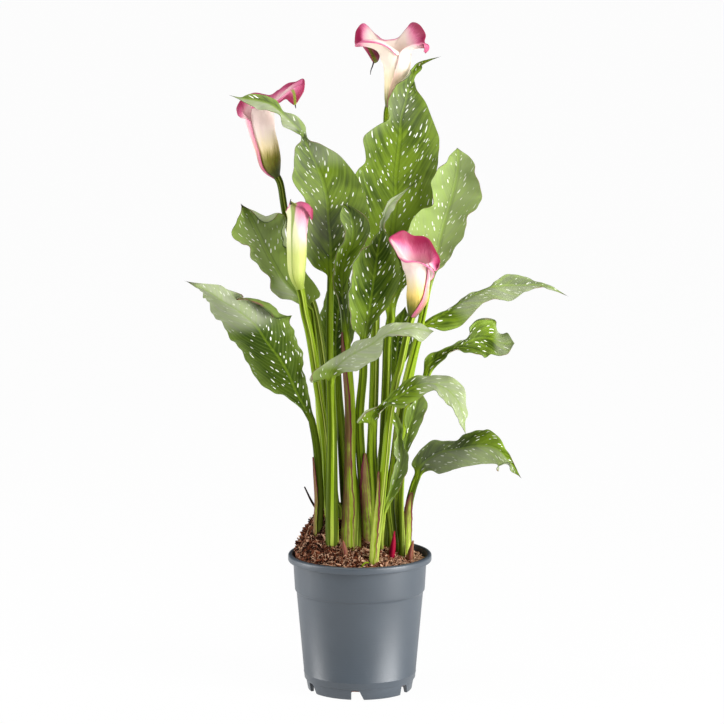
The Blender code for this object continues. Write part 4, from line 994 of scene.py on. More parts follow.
def leaf_finish(colours):
    """Green blades with arching side veins, pale windows, a silvery back and painted sheen, on streaked
    stalks.
    """
    finish = Finish("calla_leaf", 0.07)
    across, along = finish.sheet_place("blade")
    under, tone_and_shading = finish.sheet_place("side")
    reach, stalk, tail, pale = (finish.attribute(name) for name in ("reach", "stalk", "tail", "pale"))
    # back is the real pale underside, and on the front the painted silvery sheen that pale sets.
    place, lamina, side, back = finish.place(), 1.0 - stalk, abs(across), under.most(pale)
    cloud = finish.noise(place, 20.0, 3.0)
    grain = finish.noise(place, 420.0, 2.0)
    vein_run = along - side * (VEIN_SLOPE + reach * VEIN_ARCH) + (cloud - 0.5) * 0.6
    vein = ((vein_run * (math.tau * UV_UNIT / VEIN_SPACING)).sine() * 0.5 + 0.5) ** 4.0
    fine_vein = ((vein_run * (math.tau / 0.19)).sine() * 0.5 + 0.5) ** 2.0
    strip = finish.noise(finish.join(vein_run * 1.4, across * 0.35), 1.0, 2.0)

    dark, mid, light = colours.leaf_dark, colours.leaf_mid, colours.leaf_light
    silver_back_and_sheen = finish.paint(
        colours.underside_and_sheen,
        (vein * 0.14 + fine_vein * 0.06, mid),
        (finish.step(strip, 0.35, 0.65) * 0.3, light),
    )
    # Painted sheen: random greyish patches of the underside colour on the lighter blades.
    painted_sheen = finish.step(finish.noise(place, 11.0, 1.0), 0.5, 0.68) * finish.step(tone_and_shading, -0.6, 0.2) * lamina
    rib = finish.step(side, 0.13, 0.05) * lamina
    rib_shade = finish.step(abs(side - 0.2), 0.12, 0.0) * lamina * (1.0 - back)
    room = finish.step(reach, 0.05, 0.16) * finish.step(reach, 0.95, 0.8) * lamina
    window = windows(finish, vein_run, across) * room * (1.0 - tail)
    margin = finish.step(reach, 0.965, 0.985) * lamina
    rust = finish.paint(dark, (finish.step(finish.noise(place, 60.0, 1.0), 0.47, 0.57), colours.sheath))

    streaks_and_highlights = finish.noise(finish.join(across * 3.0 + tone_and_shading * 9.0, along * 0.04), 1.0, 2.0)
    speck = finish.step(finish.noise(finish.stretched(place, 900.0, 900.0, 260.0), 1.0, 1.0), 0.66, 0.72)
    stalk_tint = finish.paint(
        colours.stalk_green,
        (finish.step(finish.height(), 0.2, 0.13) * 0.55, colours.stalk_pale),
        # Olive and pale streaks down the stalk: the pale ones are partly the stalk's own, partly painted
        # highlights.
        (finish.step(streaks_and_highlights, 0.45, 0.58) * 0.95, colours.stalk_olive),
        (finish.step(streaks_and_highlights, 0.44, 0.34) * 0.5, colours.stalk_pale),
        # Stalks of the darker-toned leaves turn olive: painted shade on the stalks low down or at the back.
        (finish.step(tone_and_shading, 0.0, -1.0) * 0.75, colours.stalk_olive),
        (speck * 0.3, colours.stalk_olive),
    )
    body = finish.paint(
        dark,
        (finish.step(cloud * 0.6 + strip * 0.4, 0.4, 0.58), mid),
        # tone_and_shading lightens or darkens a blade: partly its own tone, partly painted shade on leaves
        # low or at the back.
        (finish.step(tone_and_shading, 0.0, 1.0), light),
        (finish.step(tone_and_shading, 0.0, -1.0) * 0.8, dark),
        (finish.step(reach, 0.55, 0.95) * 0.28, light),
        (vein * 0.1 + fine_vein * 0.05, light),
        (painted_sheen * 0.32, colours.underside_and_sheen),
        (back * 0.85, silver_back_and_sheen),
        (rib * 0.34, colours.vein),
        (rib_shade * 0.32, dark),
        (window * (1.0 - pale * 0.7 - under * 0.75), colours.spot),
        (margin * 0.75, rust),
        (stalk, stalk_tint),
        (tail, colours.tail),
    )
    relief = vein * 0.16 + fine_vein * 0.1 + grain * 0.08 + streaks_and_highlights * stalk * 0.8 - window * 0.15
    return finish.done(body, 0.36 + grain * 0.1 + back * 0.1 - window * 0.05, relief, 0.0003)


def spathe_finish(colours, inner):
    """Ivory funnel, golden and then olive at its foot, blushing to a rose and wine lip, finely lined."""
    finish = Finish("spathe_inside" if inner else "spathe_outside", 0.4)
    names = ("rise", "pink", "deep", "flap", "apex", "warm", "olive", "tail")
    rise, pink, deep, flap, apex, warm, olive, tail = (finish.attribute(name) for name in names)
    around, up = finish.sheet_place("sheet")
    lines = finish.noise(finish.join(around * 240.0, up * 1.6), 1.0, 3.0)
    broad = finish.noise(finish.join(around * 34.0, up * 0.5), 1.0, 2.0)
    cloud = finish.noise(finish.place(), 45.0, 2.0)
    level = rise + (lines - 0.5) * 0.16 + (broad - 0.5) * 0.22
    shade = pink + (lines - 0.5) * 0.34 + (cloud - 0.5) * 0.22
    lit, bud = finish.step(pink, 0.0, 0.12), finish.step(warm, -0.5, -1.0)
    most_blush, most_rose, most_wine = (1.0, 0.95, 1.0) if inner else (0.7, 0.8, 0.8)
    green = finish.paint(colours.throat, (finish.step(lines, 0.48, 0.7), colours.stalk_green))
    body = finish.paint(
        colours.ivory,
        (finish.step(level, 0.35, 1.0) * finish.step(warm, -1.0, 0.8) * most_blush, colours.blush),
        (finish.step(level, 0.85, 0.3) * finish.step(warm, -1.0, 1.0), colours.gold),
        (finish.step(level - olive * 0.3, 0.36, 0.1), green),
        (finish.step(level - olive * 0.12, 0.2, 0.0) * 0.8, colours.stalk_olive),
        (bud * 0.4, colours.stalk_pale),
        (bud * finish.step(level - broad * 0.3, 0.62, 0.3) * 0.85, colours.stalk_pale),
        (bud * finish.step(level, 0.3, 0.0) * 0.6, colours.stalk_green),
        (flap, colours.rose),
        (finish.step(shade, 0.0, 0.3) * lit, colours.blush),
        (finish.step(shade, 0.2, 0.72) * lit * most_rose, colours.rose),
        (finish.step(shade, 0.52, 0.9) * deep * most_wine, colours.wine),
        (finish.step(apex + (lines - 0.5) * 0.12, 0.4, 0.85) * 0.85, colours.stalk_green),
        (tail, colours.tail),
    )
    return finish.done(body, 0.36 + lines * 0.14, lines * 0.8 + broad * 0.5, 0.0003)


def stalk_finish(name, colours, olive):
    """Smooth green flower stalk with olive streaks and pale stripes, which are partly painted highlights."""
    finish = Finish(name, 0.07)
    around, up = finish.sheet_place("sheet")
    streak = finish.noise(finish.join(around * 5.0, up * 0.03), 1.0, 2.0)
    fine = finish.noise(finish.join(around * 40.0, up * 0.2), 1.0, 2.0)
    grain = finish.noise(finish.place(), 700.0, 1.0)
    stripes_and_highlights = [finish.step(abs(around - spot), width, width * 0.4) * 0.6 for spot, width in STALK_STRIPES_AND_HIGHLIGHTS]
    body = finish.paint(
        colours.stalk_green,
        (finish.step(streak, 0.44, 0.56), colours.stalk_olive),
        (olive, colours.stalk_olive),
        (finish.step(finish.height(), 0.19, 0.13) * 0.5, colours.stalk_pale),
        *((stripe, colours.stalk_pale) for stripe in stripes_and_highlights),
        (finish.step(fine, 0.54, 0.7) * 0.35, colours.stalk_pale),
    )
    return finish.done(body, 0.28 + grain * 0.12, streak * 0.6 + fine * 0.4, 0.0003)


def papery_finish(name, dark, pale, green, cover=0.5):
    """Thin dry sheath: dark margins, tip and ribs over a greener skin; cover is how much is dark."""
    finish = Finish(name, 0.1)
    around, up = finish.sheet_place("sheet")
    rise = finish.attribute("rise")
    ribs = finish.noise(finish.join(around * 12.0, up * 0.12), 1.0, 3.0)
    cloud = finish.noise(finish.place(), 55.0, 3.0)
    streaks = ribs + (cloud - 0.5) * 0.5 + rise * 0.22 - (around - 0.5) * 0.3
    start = 0.74 - cover * 0.3
    body = finish.paint(
        green,
        (finish.step(ribs, 0.4, 0.6), pale),
        (finish.step(streaks, start, start + 0.12) * 0.82, dark),
        (finish.step(abs(around - 0.5) + rise * 0.22, 0.42, 0.54), dark),
    )
    return finish.done(body, 0.42 + ribs * 0.2, ribs, 0.0004)


def spadix_finish(colours):
    """Powdery yellow finger of tiny florets."""
    finish = Finish("spadix_florets")
    place = finish.place()
    cells = finish.node("ShaderNodeTexVoronoi", {}, {"Vector": place, "Scale": 1100.0}, output="Distance")
    shade = finish.noise(place, 160.0, 2.0)
    body = finish.paint(
        colours.spadix,
        (finish.step(cells, 0.15, 0.75), colours.throat),
        (finish.step(shade, 0.5, 0.7) * 0.5, colours.ivory),
    )
    return finish.done(body, 0.8, 1.0 - cells, 0.0005)


def coir_finish(name, colours, loose):
    """Coarse coir: dark and reddish crumbs, and for loose pieces a tint of their own."""
    finish = Finish(name, 0.1)
    place = finish.place()
    coarse = finish.noise(place, 210.0, 4.0, 0.65)
    fine = finish.noise(place, 900.0, 3.0, 0.7)
    if loose:
        hue = finish.attribute("hue")
        coats = [
            (finish.step(hue, 0.0, 0.3), colours.coir),
            (finish.step(hue, 0.4, 0.95), colours.coir_light),
            (finish.step(coarse, 0.52, 0.7) * 0.4, colours.coir_dark),
            (finish.step(hue, 1.4, 1.6), colours.stalk_green),
        ]
    else:
        coats = [
            (finish.step(coarse, 0.36, 0.62), colours.coir),
            (finish.step(fine, 0.52, 0.7) * 0.55, colours.coir_light),
        ]
    body = finish.paint(colours.coir_dark, *coats)
    return finish.done(body, 0.82 + fine * 0.16, coarse * 0.7 + fine * 0.5, 0.0012)


def pot_finish(colours):
    """Injection-moulded plastic: satin, with faint turning marks, scuffs and dust."""
    finish = Finish("moulded_plastic", 0.75)
    place = finish.place()
    cloud = finish.noise(place, 14.0, 3.0)
    turned = finish.noise(finish.stretched(place, 24.0, 24.0, 700.0), 1.0, 2.0)
    grain = finish.noise(place, 1500.0, 2.0)
    scuff_lines = finish.noise(finish.stretched(place, 420.0, 420.0, 30.0), 1.0, 2.0)
    scuff = finish.step(scuff_lines, 0.68, 0.76) * finish.step(cloud, 0.48, 0.6)
    dust = finish.step(finish.noise(place, 260.0, 3.0, 0.7), 0.62, 0.74)
    pale = tuple(min(1.0, channel * 1.6 + 0.03) for channel in colours.pot)
    deep = tuple(channel * 0.84 for channel in colours.pot)
    coats = ((finish.step(cloud, 0.3, 0.7), colours.pot), (scuff * 0.35, pale), (dust * 0.12, pale))
    body = finish.paint(deep, *coats)
    roughness = 0.38 + cloud * 0.08 + scuff * 0.12 + dust * 0.1
    return finish.done(body, roughness, turned * 0.35 + grain * 0.25, 0.00016)


# Leaves


def halfway(edge, mid, other):
    """Points of a blade halfway from its edge to its midrib, on fair curves through the three."""
    straight = (edge + mid) * 0.5
    curved = mid * 0.75 + edge * 0.375 - other * 0.125
    reach = np.linalg.norm(edge - mid, axis=1, keepdims=True)
    far = np.linalg.norm(other - mid, axis=1, keepdims=True)
    share = np.minimum(reach, far) / np.maximum(np.maximum(reach, far), 1e-6)
    return straight + (curved - straight) * share


def blade_surface(left, mid, right, spread):
    """The blade's middle surface: rows by columns, spread from -1 at the left edge to 1 at the right."""
    near_left, near_right = halfway(left, mid, right), halfway(right, mid, left)
    share = 1.0 - np.abs(spread)
    at_edge, at_half, at_mid = (1 - share) * (1 - 2 * share), 4 * share * (1 - share), share * (2 * share - 1)
    is_left = (spread < 0.0)[None, :, None]
    edge = np.where(is_left, left[:, None, :], right[:, None, :])
    half = np.where(is_left, near_left[:, None, :], near_right[:, None, :])
    rows = edge * at_edge[None, :, None] + half * at_half[None, :, None]
    return rows + mid[:, None, :] * at_mid[None, :, None]


def along_rows(spans, places, side):
    """A value per row from spans of from-row, to-row, side and perhaps a number, faded at the ends."""
    value = np.zeros(len(places))
    for start, end, at_side, *numbers in spans:
        if at_side in (side, 0):
            most = abs(numbers[0]) if numbers else 1.0
            value = np.maximum(value, between(places, start, end) * most)
    return value


def painted_sheen_patches(leaf, places, spread):
    """How strongly a silvery sheen is painted on the blade's front, in part where the pale back shows, over
    rows and columns.
    """
    spans = leaf.get("pale", ())
    left, right = (along_rows(spans, places, side)[:, None] for side in (-1, 1))
    is_right = fade(spread, -0.12, 0.12)[None, :]
    return left * (1.0 - is_right) + right * is_right


def margin_fold(surface, normal, leaf, places, side):
    """Columns past a blade's margin that roll over it, toward the upper side for a positive angle."""
    column, inner = (0, 1) if side < 0 else (-1, -2)
    edge = surface[:, column]
    outward = unit(edge - surface[:, inner])
    up = unit(normal[:, column] - outward * (normal[:, column] * outward).sum(axis=1, keepdims=True))
    spans = leaf.get("hems", ())
    width = HEM_LEAST + along_rows(spans, places, side)
    width = width * (1.0 - fade(places, places[-1] - 0.7, places[-1]))
    angle = np.zeros(len(places))
    for start, end, at_side, _, degrees in spans:
        if at_side == side:
            angle = angle + between(places, start, end) * math.radians(degrees)
    steps = (np.arange(HEM_COLUMNS) + 0.5) / HEM_COLUMNS
    turn = angle[:, None] * steps[None, :] ** (0.7 - 0.55 * fade(width, 7.0, 11.0))[:, None]
    heading = outward[:, None, :] * np.cos(turn)[:, :, None] + up[:, None, :] * np.sin(turn)[:, :, None]
    fold = edge[:, None, :] + np.cumsum(heading, axis=1) * (width / HEM_COLUMNS)[:, None, None]
    run = width[:, None] * (np.arange(HEM_COLUMNS) + 1.0)[None, :] / HEM_COLUMNS
    return fold, run


def leaf_grid(leaf, number, shape):
    """Points, UVs and values of one leaf's closed sheet, from its foot to its tip."""
    stations = np.array(leaf["blade"], float)
    tip = np.array(leaf["tip"], float)
    count = len(stations)
    step = shape.row_step / MM
    rails = [np.vstack([stations[:, rail], tip]) for rail in range(3)]
    places = even_places(rails[1], step)
    left, mid, right = (smooth_curve(rail, places) for rail in rails)
    tail = np.clip(places - (count - 1), 0.0, 1.0)
    narrowing = ((1.0 - tail) ** leaf.get("thread", 0.3))[:, None]
    left, right = mid + (left - mid) * narrowing, mid + (right - mid) * narrowing

    half = 2 * shape.blade_columns
    spread = np.linspace(-1.0, 1.0, half + 1)
    spread = np.sign(spread) * np.abs(spread) ** 1.15
    surface = blade_surface(left, mid, right, spread)
    normal = unit(np.cross(np.gradient(surface, axis=1), np.gradient(surface, axis=0)))
    run = run_along(mid)
    across = np.sign(spread) * np.linalg.norm(surface - mid[:, None, :], axis=2)
    reach = np.abs(spread)[None, :] * np.ones_like(across)

    share = places / places[-1]
    open_blade = fade(places, 0.4, 2.0)[:, None] * (1.0 - fade(places, count - 1.6, count - 0.4))[:, None]
    sway = number * 1.9 + np.sign(spread)[None, :] * 1.1
    wave = np.sin(run[:, None] * math.tau / LONG_WAVE + sway)
    wave = wave + 0.5 * np.sin(run[:, None] * math.tau / SHORT_WAVE + sway * 2.3)
    lift = wave * reach**2.4 * open_blade * leaf.get("wave", 1.0) * shape.margin_wave / MM
    vein_run = run[:, None] - np.abs(across) * (VEIN_SLOPE + reach * VEIN_ARCH)
    veins = np.cos(vein_run * math.tau / VEIN_SPACING) * open_blade
    veins = veins * (1.0 - reach**6) * fade(reach, 0.03, 0.15)
    lift = lift + veins * shape.vein_relief / MM
    surface = surface + normal * lift[:, :, None]

    left_fold, left_run = margin_fold(surface, normal, leaf, places, -1)
    right_fold, right_run = margin_fold(surface, normal, leaf, places, 1)
    surface = np.concatenate([left_fold[:, ::-1], surface, right_fold], axis=1)
    across = np.concatenate([across[:, :1] - left_run[:, ::-1], across, across[:, -1:] + right_run], axis=1)
    hem_reach = np.linspace(0.0, 1.0, HEM_COLUMNS + 1)[1:] ** 3 * HEM_REACH + LAMINA_REACH
    hem_rows = np.tile(hem_reach, (len(places), 1))
    reach = np.concatenate([hem_rows[:, ::-1], reach * LAMINA_REACH, hem_rows], axis=1)
    spread = np.concatenate([-hem_reach[::-1], spread * LAMINA_REACH, hem_reach])
    half += 2 * HEM_COLUMNS
    normal = unit(np.cross(np.gradient(surface, axis=1), np.gradient(surface, axis=0)))
    half_width = np.maximum(np.abs(across).max(axis=1), 0.05)[:, None]

    stem_radius = leaf["thick"][1]
    rounding = 1.0 - ((reach - LAMINA_REACH) / HEM_REACH).clip(0.0, 1.0) ** 4
    lamina = np.minimum(LAMINA_HALF_THICKNESS, half_width * 0.12 + 0.02) * rounding
    rib = (stem_radius + (RIB_TIP - stem_radius) * np.minimum(1.0, share * RIB_TAPER))[:, None]
    rib = np.minimum(rib, half_width * 0.5 + 0.1)
    channel = 0.45 * np.exp(-((across / 1.1) ** 2)) * (1.0 - 0.75 * share[:, None])
    above = surface + normal * (lamina - np.minimum(channel, lamina + rib * 0.5))[:, :, None]
    swell = rib * np.exp(-((across / (rib * 0.8 + 0.35)) ** 2))
    below = surface - normal * (lamina + swell)[:, :, None]
    section = np.concatenate([above, below[:, -2::-1]], axis=1)
    section[:, -1] = section[:, 0]

    columns = 2 * half
    side = unit(stations[1][2] - stations[1][0])
    round_start = round_rings(mid, np.full(len(mid), stem_radius), side, columns)
    is_round = 1.0 - fade(places, 0.0, 1.3)
    section = section + (round_start - section) * is_round[:, None, None]
    section[-1] = tip

    path = stem_points(leaf["foot"], leaf["thick"], leaf["stem"], [tuple(stations[0][1])])
    stem = smooth_curve(path, even_places(path, STEM_STEP))
    centres, radii = stem[:, :3], stem[:, 3]
    rings = round_rings(centres, radii, side, columns)
    turn = np.linspace(0.0, math.tau, columns + 1)
    stem_run = run_along(centres)
    up = stem_run / stem_run[-1]
    groove = np.exp(-(((turn - math.pi / 2) / 0.45) ** 2))
    hollow = 0.3 * groove[None, :] * (fade(up, 0.45, 1.0) * radii)[:, None]
    inward = unit(centres[:, None, :] - rings)
    rings = rings + inward * hollow[:, :, None]
    foot = over_columns(centres[:1], columns)
    points = np.concatenate([foot, rings[:-1], section])

    stem_across = -np.cos(turn)[None, :] * radii[:-1, None]
    both = np.concatenate([across, across[:, -2::-1]], axis=1)
    first = np.concatenate([[stem_run[0]], stem_run[:-1]]) - stem_run[-1]
    along = np.concatenate([first, run])
    across_all = np.concatenate([stem_across[:1], stem_across, both])
    blade_uv = np.stack([across_all, over_columns(along, columns)], axis=2) / UV_UNIT
    around = np.linspace(0.0, 1.0, columns + 1)
    under = np.where(around <= 0.5, 0.0, leaf.get("under", 1.0))
    tones = np.full((len(points), columns + 1), leaf["tone_and_shading"])
    side_uv = np.stack([np.tile(under, (len(points), 1)), tones], axis=2)

    stems = len(stem_across) + 1
    both_reach = np.concatenate([reach, reach[:, -2::-1]], axis=1) * (1.0 - is_round)[:, None]
    none = np.zeros((stems, columns + 1))
    # pale marks where a silvery sheen is painted on the blade's front.
    pale = painted_sheen_patches(leaf, places, spread)
    pale = np.concatenate([pale, np.zeros_like(pale[:, -2::-1])], axis=1)
    dark_tail = fade(tail, 0.25, 0.9) * (1.0 if "thread" in leaf else 0.5)
    values = {
        "reach": np.concatenate([none, both_reach]),
        "stalk": np.concatenate([none + 1.0, over_columns(is_round, columns)]),
        "tail": np.concatenate([none, over_columns(dark_tail, columns)]),
        "pale": np.concatenate([none, pale]),
    }
    return points, {"blade": blade_uv, "side": side_uv}, values


class LILY_OT_leaves(bpy.types.Operator):
    """Build every leaf with its stalk, midrib, side veins and wavy margins"""

    bl_idname = "lily.leaves"
    bl_label = "Leaves"

    def execute(self, context):
        shape, colours = context.scene.lily_shape, context.scene.lily_colours
        finish = leaf_finish(colours)
        for number, (name, leaf) in enumerate(LEAVES.items()):
            points, uvs, values = leaf_grid(leaf, number, shape)
            bm = closed(bent_grid(f"{name}_blade", points, uvs, values))
            finished(f"{name}_blade", bm, [finish], [name])
        return {"FINISHED"}


# Stems, flowers and shoots


def rod_grid(path, columns, step, side=(1.0, 0.0, 0.0)):
    """Points of a closed rod through rows of x, y, z and radius, and its UVs."""
    path = np.asarray(path, float)
    stem = smooth_curve(path, even_places(path, step))
    centres = stem[:, :3]
    rings = round_rings(centres, stem[:, 3], np.array(side), columns)
    points = np.concatenate([over_columns(centres[:1], columns), rings, over_columns(centres[-1:], columns)])
    run = run_along(centres)
    up = over_columns(np.concatenate([run[:1], run, run[-1:]]), columns)
    around = np.linspace(0.0, 1.0, columns + 1)[None, :] * np.ones((len(points), 1))
    return points, {"sheet": np.stack([around, up / UV_UNIT], axis=2)}


def turns_and_rows(points):
    """The turn of each of a rod's columns and the number of each of its rows."""
    rows, columns = points.shape[:2]
    return np.linspace(0.0, math.tau, columns)[None, :], np.arange(rows)[:, None]


def swollen(points, relief):
    """A rod's points moved out from its middle by a share of its radius."""
    middle = points.mean(axis=1, keepdims=True)
    points = middle + (points - middle) * (1.0 + relief)[:, :, None]
    points[:, -1] = points[:, 0]
    return points


def funnel_tube(flower):
    """The funnel's centres and radii from its base up, closely spaced."""
    tube = np.array(flower["tube"], float)
    return smooth_curve(tube, np.linspace(0.0, len(tube) - 1, FUNNEL_ROWS))


class LILY_OT_scapes(bpy.types.Operator):
    """Build the flower stalks"""

    bl_idname = "lily.scapes"
    bl_label = "Flower stalks"

    def execute(self, context):
        colours = context.scene.lily_colours
        for name, flower in FLOWERS.items():
            finish = stalk_finish(f"stalk_{name}", colours, flower["olive"])
            tube = funnel_tube(flower)
            axis = unit(tube[1, :3] - tube[0, :3])
            neck, top = tube[0, :3] - axis * SCAPE_NECK, tube[0, :3] + axis * 1.5
            path = stem_points(flower["foot"], flower["thick"], flower["stem"], [tuple(neck)])
            path = np.vstack([path, [*top, flower["thick"][1] + 0.25]])
            points, uvs = rod_grid(path, 28, 3.0)
            bm = closed(bent_grid(f"stalk_{name}", points, uvs))
            finished(f"stalk_{name}", bm, [finish], [f"scape_{name}"])
        return {"FINISHED"}


def spathe_grid(flower, columns):
    """Points, UVs and values of a rolled spathe, from its outer margin round to its inner one."""
    lip = flower["lip"]
    angles = np.radians([station[0] for station in lip])[:, None]
    spots = np.linspace(0.0, len(lip) - 1, columns + 1)
    angle = smooth_curve(angles, spots)[:, 0]
    crest = smooth_curve([station[1] for station in lip], spots)
    edge = smooth_curve([station[2] for station in lip], spots)
    counts = np.arange(len(lip))
    blush, deep, crest_pink = (np.interp(spots, counts, [station[k] for station in lip]) for k in (3, 4, 5))
    share = spots / spots[-1]
    tube = funnel_tube(flower)
    centres, radii = tube[:, :3], tube[:, 3].copy()
    foot_radii = radii[:FUNNEL_FOOT_ROWS] * np.linspace(0.85, 1.0, FUNNEL_FOOT_ROWS)
    radii[:FUNNEL_FOOT_ROWS] = np.maximum(flower["thick"][1] + 0.4, foot_radii)
    axes = unit(np.gradient(centres, axis=0))
    back = unit(np.array([0.0, 1.0, 0.0]) - axes * axes[:, 1:2])
    left = -np.cross(back, axes)
    middle = (angle[0] + angle[-1]) / 2.0
    up = np.linspace(0.0, 1.0, len(tube))
    low = (1.0 - up[:, None]) ** flower["sweep"]
    lapped = (angle[None, :] - middle) * (1.0 + flower["overlap"] * low)
    turns = middle + math.radians(flower["twist"]) * low + lapped
    layer = 0.75 * (1.0 - 2.0 * share)[None, :] * (0.35 + 0.65 * fade(up, 0.0, 0.3))[:, None]
    reach = (radii[:, None] + layer)[:, :, None]
    ring = left[:, None, :] * np.sin(turns)[:, :, None] - back[:, None, :] * np.cos(turns)[:, :, None]
    rows = centres[:, None, :] + ring * reach

    throat, axis = rows[-1], axes[-1]
    length = np.linalg.norm(crest - throat, axis=1, keepdims=True)
    control = throat + axis * length * FLARE_STIFFNESS
    flare_up, fall_down = (np.linspace(0.0, 1.0, rows + 1)[1:] for rows in (FLARE_ROWS, FALL_ROWS))
    flare = [throat * (1 - s) ** 2 + control * 2 * s * (1 - s) + crest * s**2 for s in flare_up]
    fall = np.linalg.norm(edge - crest, axis=1, keepdims=True)
    turned = crest + unit(crest - control) * np.minimum(fall * 0.5, ROLL_REACH)
    flare += [crest * (1 - s) ** 2 + turned * 2 * s * (1 - s) + edge * s**2 for s in fall_down]
    flare = np.array(flare)
    ripple = np.sin(share * math.tau * 5.0 + 1.0) * 0.35 + np.sin(share * math.tau * 9.0) * 0.2
    lift = np.linspace(0.0, 1.0, len(flare))[:, None] ** 2 * ripple[None, :]
    flare = flare + axis * lift[:, :, None]
    points = np.concatenate([rows, flare])

    tube_rows, all_rows = len(rows), len(points)
    tube_rise = np.linspace(0.0, 1.0, tube_rows)
    rise = np.concatenate([tube_rise, np.ones(all_rows - tube_rows)])
    span = np.concatenate([np.zeros(tube_rows), flare_up, 1.0 + fall_down])
    rim_run = np.array([run_along(points[:, c]) for c in range(columns + 1)]).T
    from_rim = rim_run[-1] - rim_run
    from_crest = np.abs(rim_run - rim_run[tube_rows + FLARE_ROWS - 1])
    rim_pink = np.clip(1.0 - from_rim / blush[None, :], 0.0, 1.0)
    width, tint = flower["flap"]
    spreading = 0.05 if flower["stripe"] < 0.0 else 0.0
    peak = np.exp(-(((share[None, :] - flower["apex"]) / (0.02 + spreading * rise[:, None] ** 3)) ** 2))
    everywhere = np.ones((all_rows, columns + 1))
    past_crest = np.where(deep[None, :] > 1.0, fade(span, 1.0, 1.25)[:, None], everywhere)
    values = {
        "rise": rise[:, None] * everywhere,
        "pink": np.maximum(rim_pink, crest_pink[None, :] * np.exp(-((from_crest / CREST_BLUSH) ** 2))),
        "deep": np.minimum(deep, 1.0)[None, :] * past_crest,
        "flap": np.exp(-((share / width) ** 2))[None, :] * tint * everywhere,
        "apex": peak * fade(span, flower["stripe"], flower["stripe"] + 0.3)[:, None],
        "warm": flower["warm"] * everywhere,
        "olive": flower["olive"] * everywhere,
    }
    around = share[None, :] * np.ones((all_rows, 1))
    uv = np.stack([around, rim_run / UV_UNIT], axis=2)
    return points, {"sheet": uv}, values


class LILY_OT_spathes(bpy.types.Operator):
    """Build the rolled spathes with their overlapping margins, flared lips and dry tails"""

    bl_idname = "lily.spathes"
    bl_label = "Spathes"

    def execute(self, context):
        shape, colours = context.scene.lily_shape, context.scene.lily_colours
        outside, inside = spathe_finish(colours, False), spathe_finish(colours, True)
        for name, flower in FLOWERS.items():
            points, uvs, values = spathe_grid(flower, shape.spathe_columns)
            bm = bent_grid(f"flower_{name}", points, uvs, values)
            if flower["lip"][-1][0] > flower["lip"][0][0]:
                bmesh.ops.reverse_faces(bm, faces=bm.faces)
            spathe = finished(f"flower_{name}", bm, [outside], [f"spathe_{name}"])
            walled(spathe, shape.spathe_wall, inside)
            if flower["tail"]:
                points, uvs = rod_grid(flower["tail"], 8, 0.8)
                dark = {"tail": np.ones(points.shape[:2])}
                bm = closed(bent_grid(f"flower_tail_{name}", points, uvs, dark))
                finished(f"flower_tail_{name}", bm, [outside])
        return {"FINISHED"}


class LILY_OT_spadices(bpy.types.Operator):
    """Build the fingers of tiny florets inside the open flowers"""

    bl_idname = "lily.spadices"
    bl_label = "Spadices"

    def execute(self, context):
        finish = spadix_finish(context.scene.lily_colours)
        for name, flower in FLOWERS.items():
            if not flower["spadix"]:
                continue
            base, above = np.array(flower["tube"][0][:3], float), np.array(flower["tube"][2][:3], float)
            axis = unit(above - base)
            foot = base + axis * SPADIX_SEAT
            path = [(*(foot + axis * SPADIX_LENGTH * share), radius) for share, radius in SPADIX_SHAPE]
            points, uvs = rod_grid(path, 40, 0.5)
            turn, row = turns_and_rows(points)
            florets = np.cos(turn * 10.0 + row * 0.9) * np.cos(turn * 10.0 - row * 0.9)
            points = swollen(points, 0.07 * florets)
            bm = closed(bent_grid(f"florets_{name}", points, uvs))
            finished(f"florets_{name}", bm, [finish], [f"spadix_{name}"])
        return {"FINISHED"}


def held_stem(name):
    """The stem in a sheath, as close rows of x, y, z and radius, and the soil's height at its foot."""
    if name in LEAVES:
        stem = LEAVES[name]
        top = stem["blade"][0][1]
    else:
        stem = FLOWERS[name.removeprefix("scape_")]
        top = stem["tube"][0][:3]
    path = stem_points(stem["foot"], stem["thick"], stem["stem"], [tuple(top)])
    return smooth_curve(path, np.linspace(0.0, len(path) - 1, 30 * len(path))), soil_height(*stem["foot"])


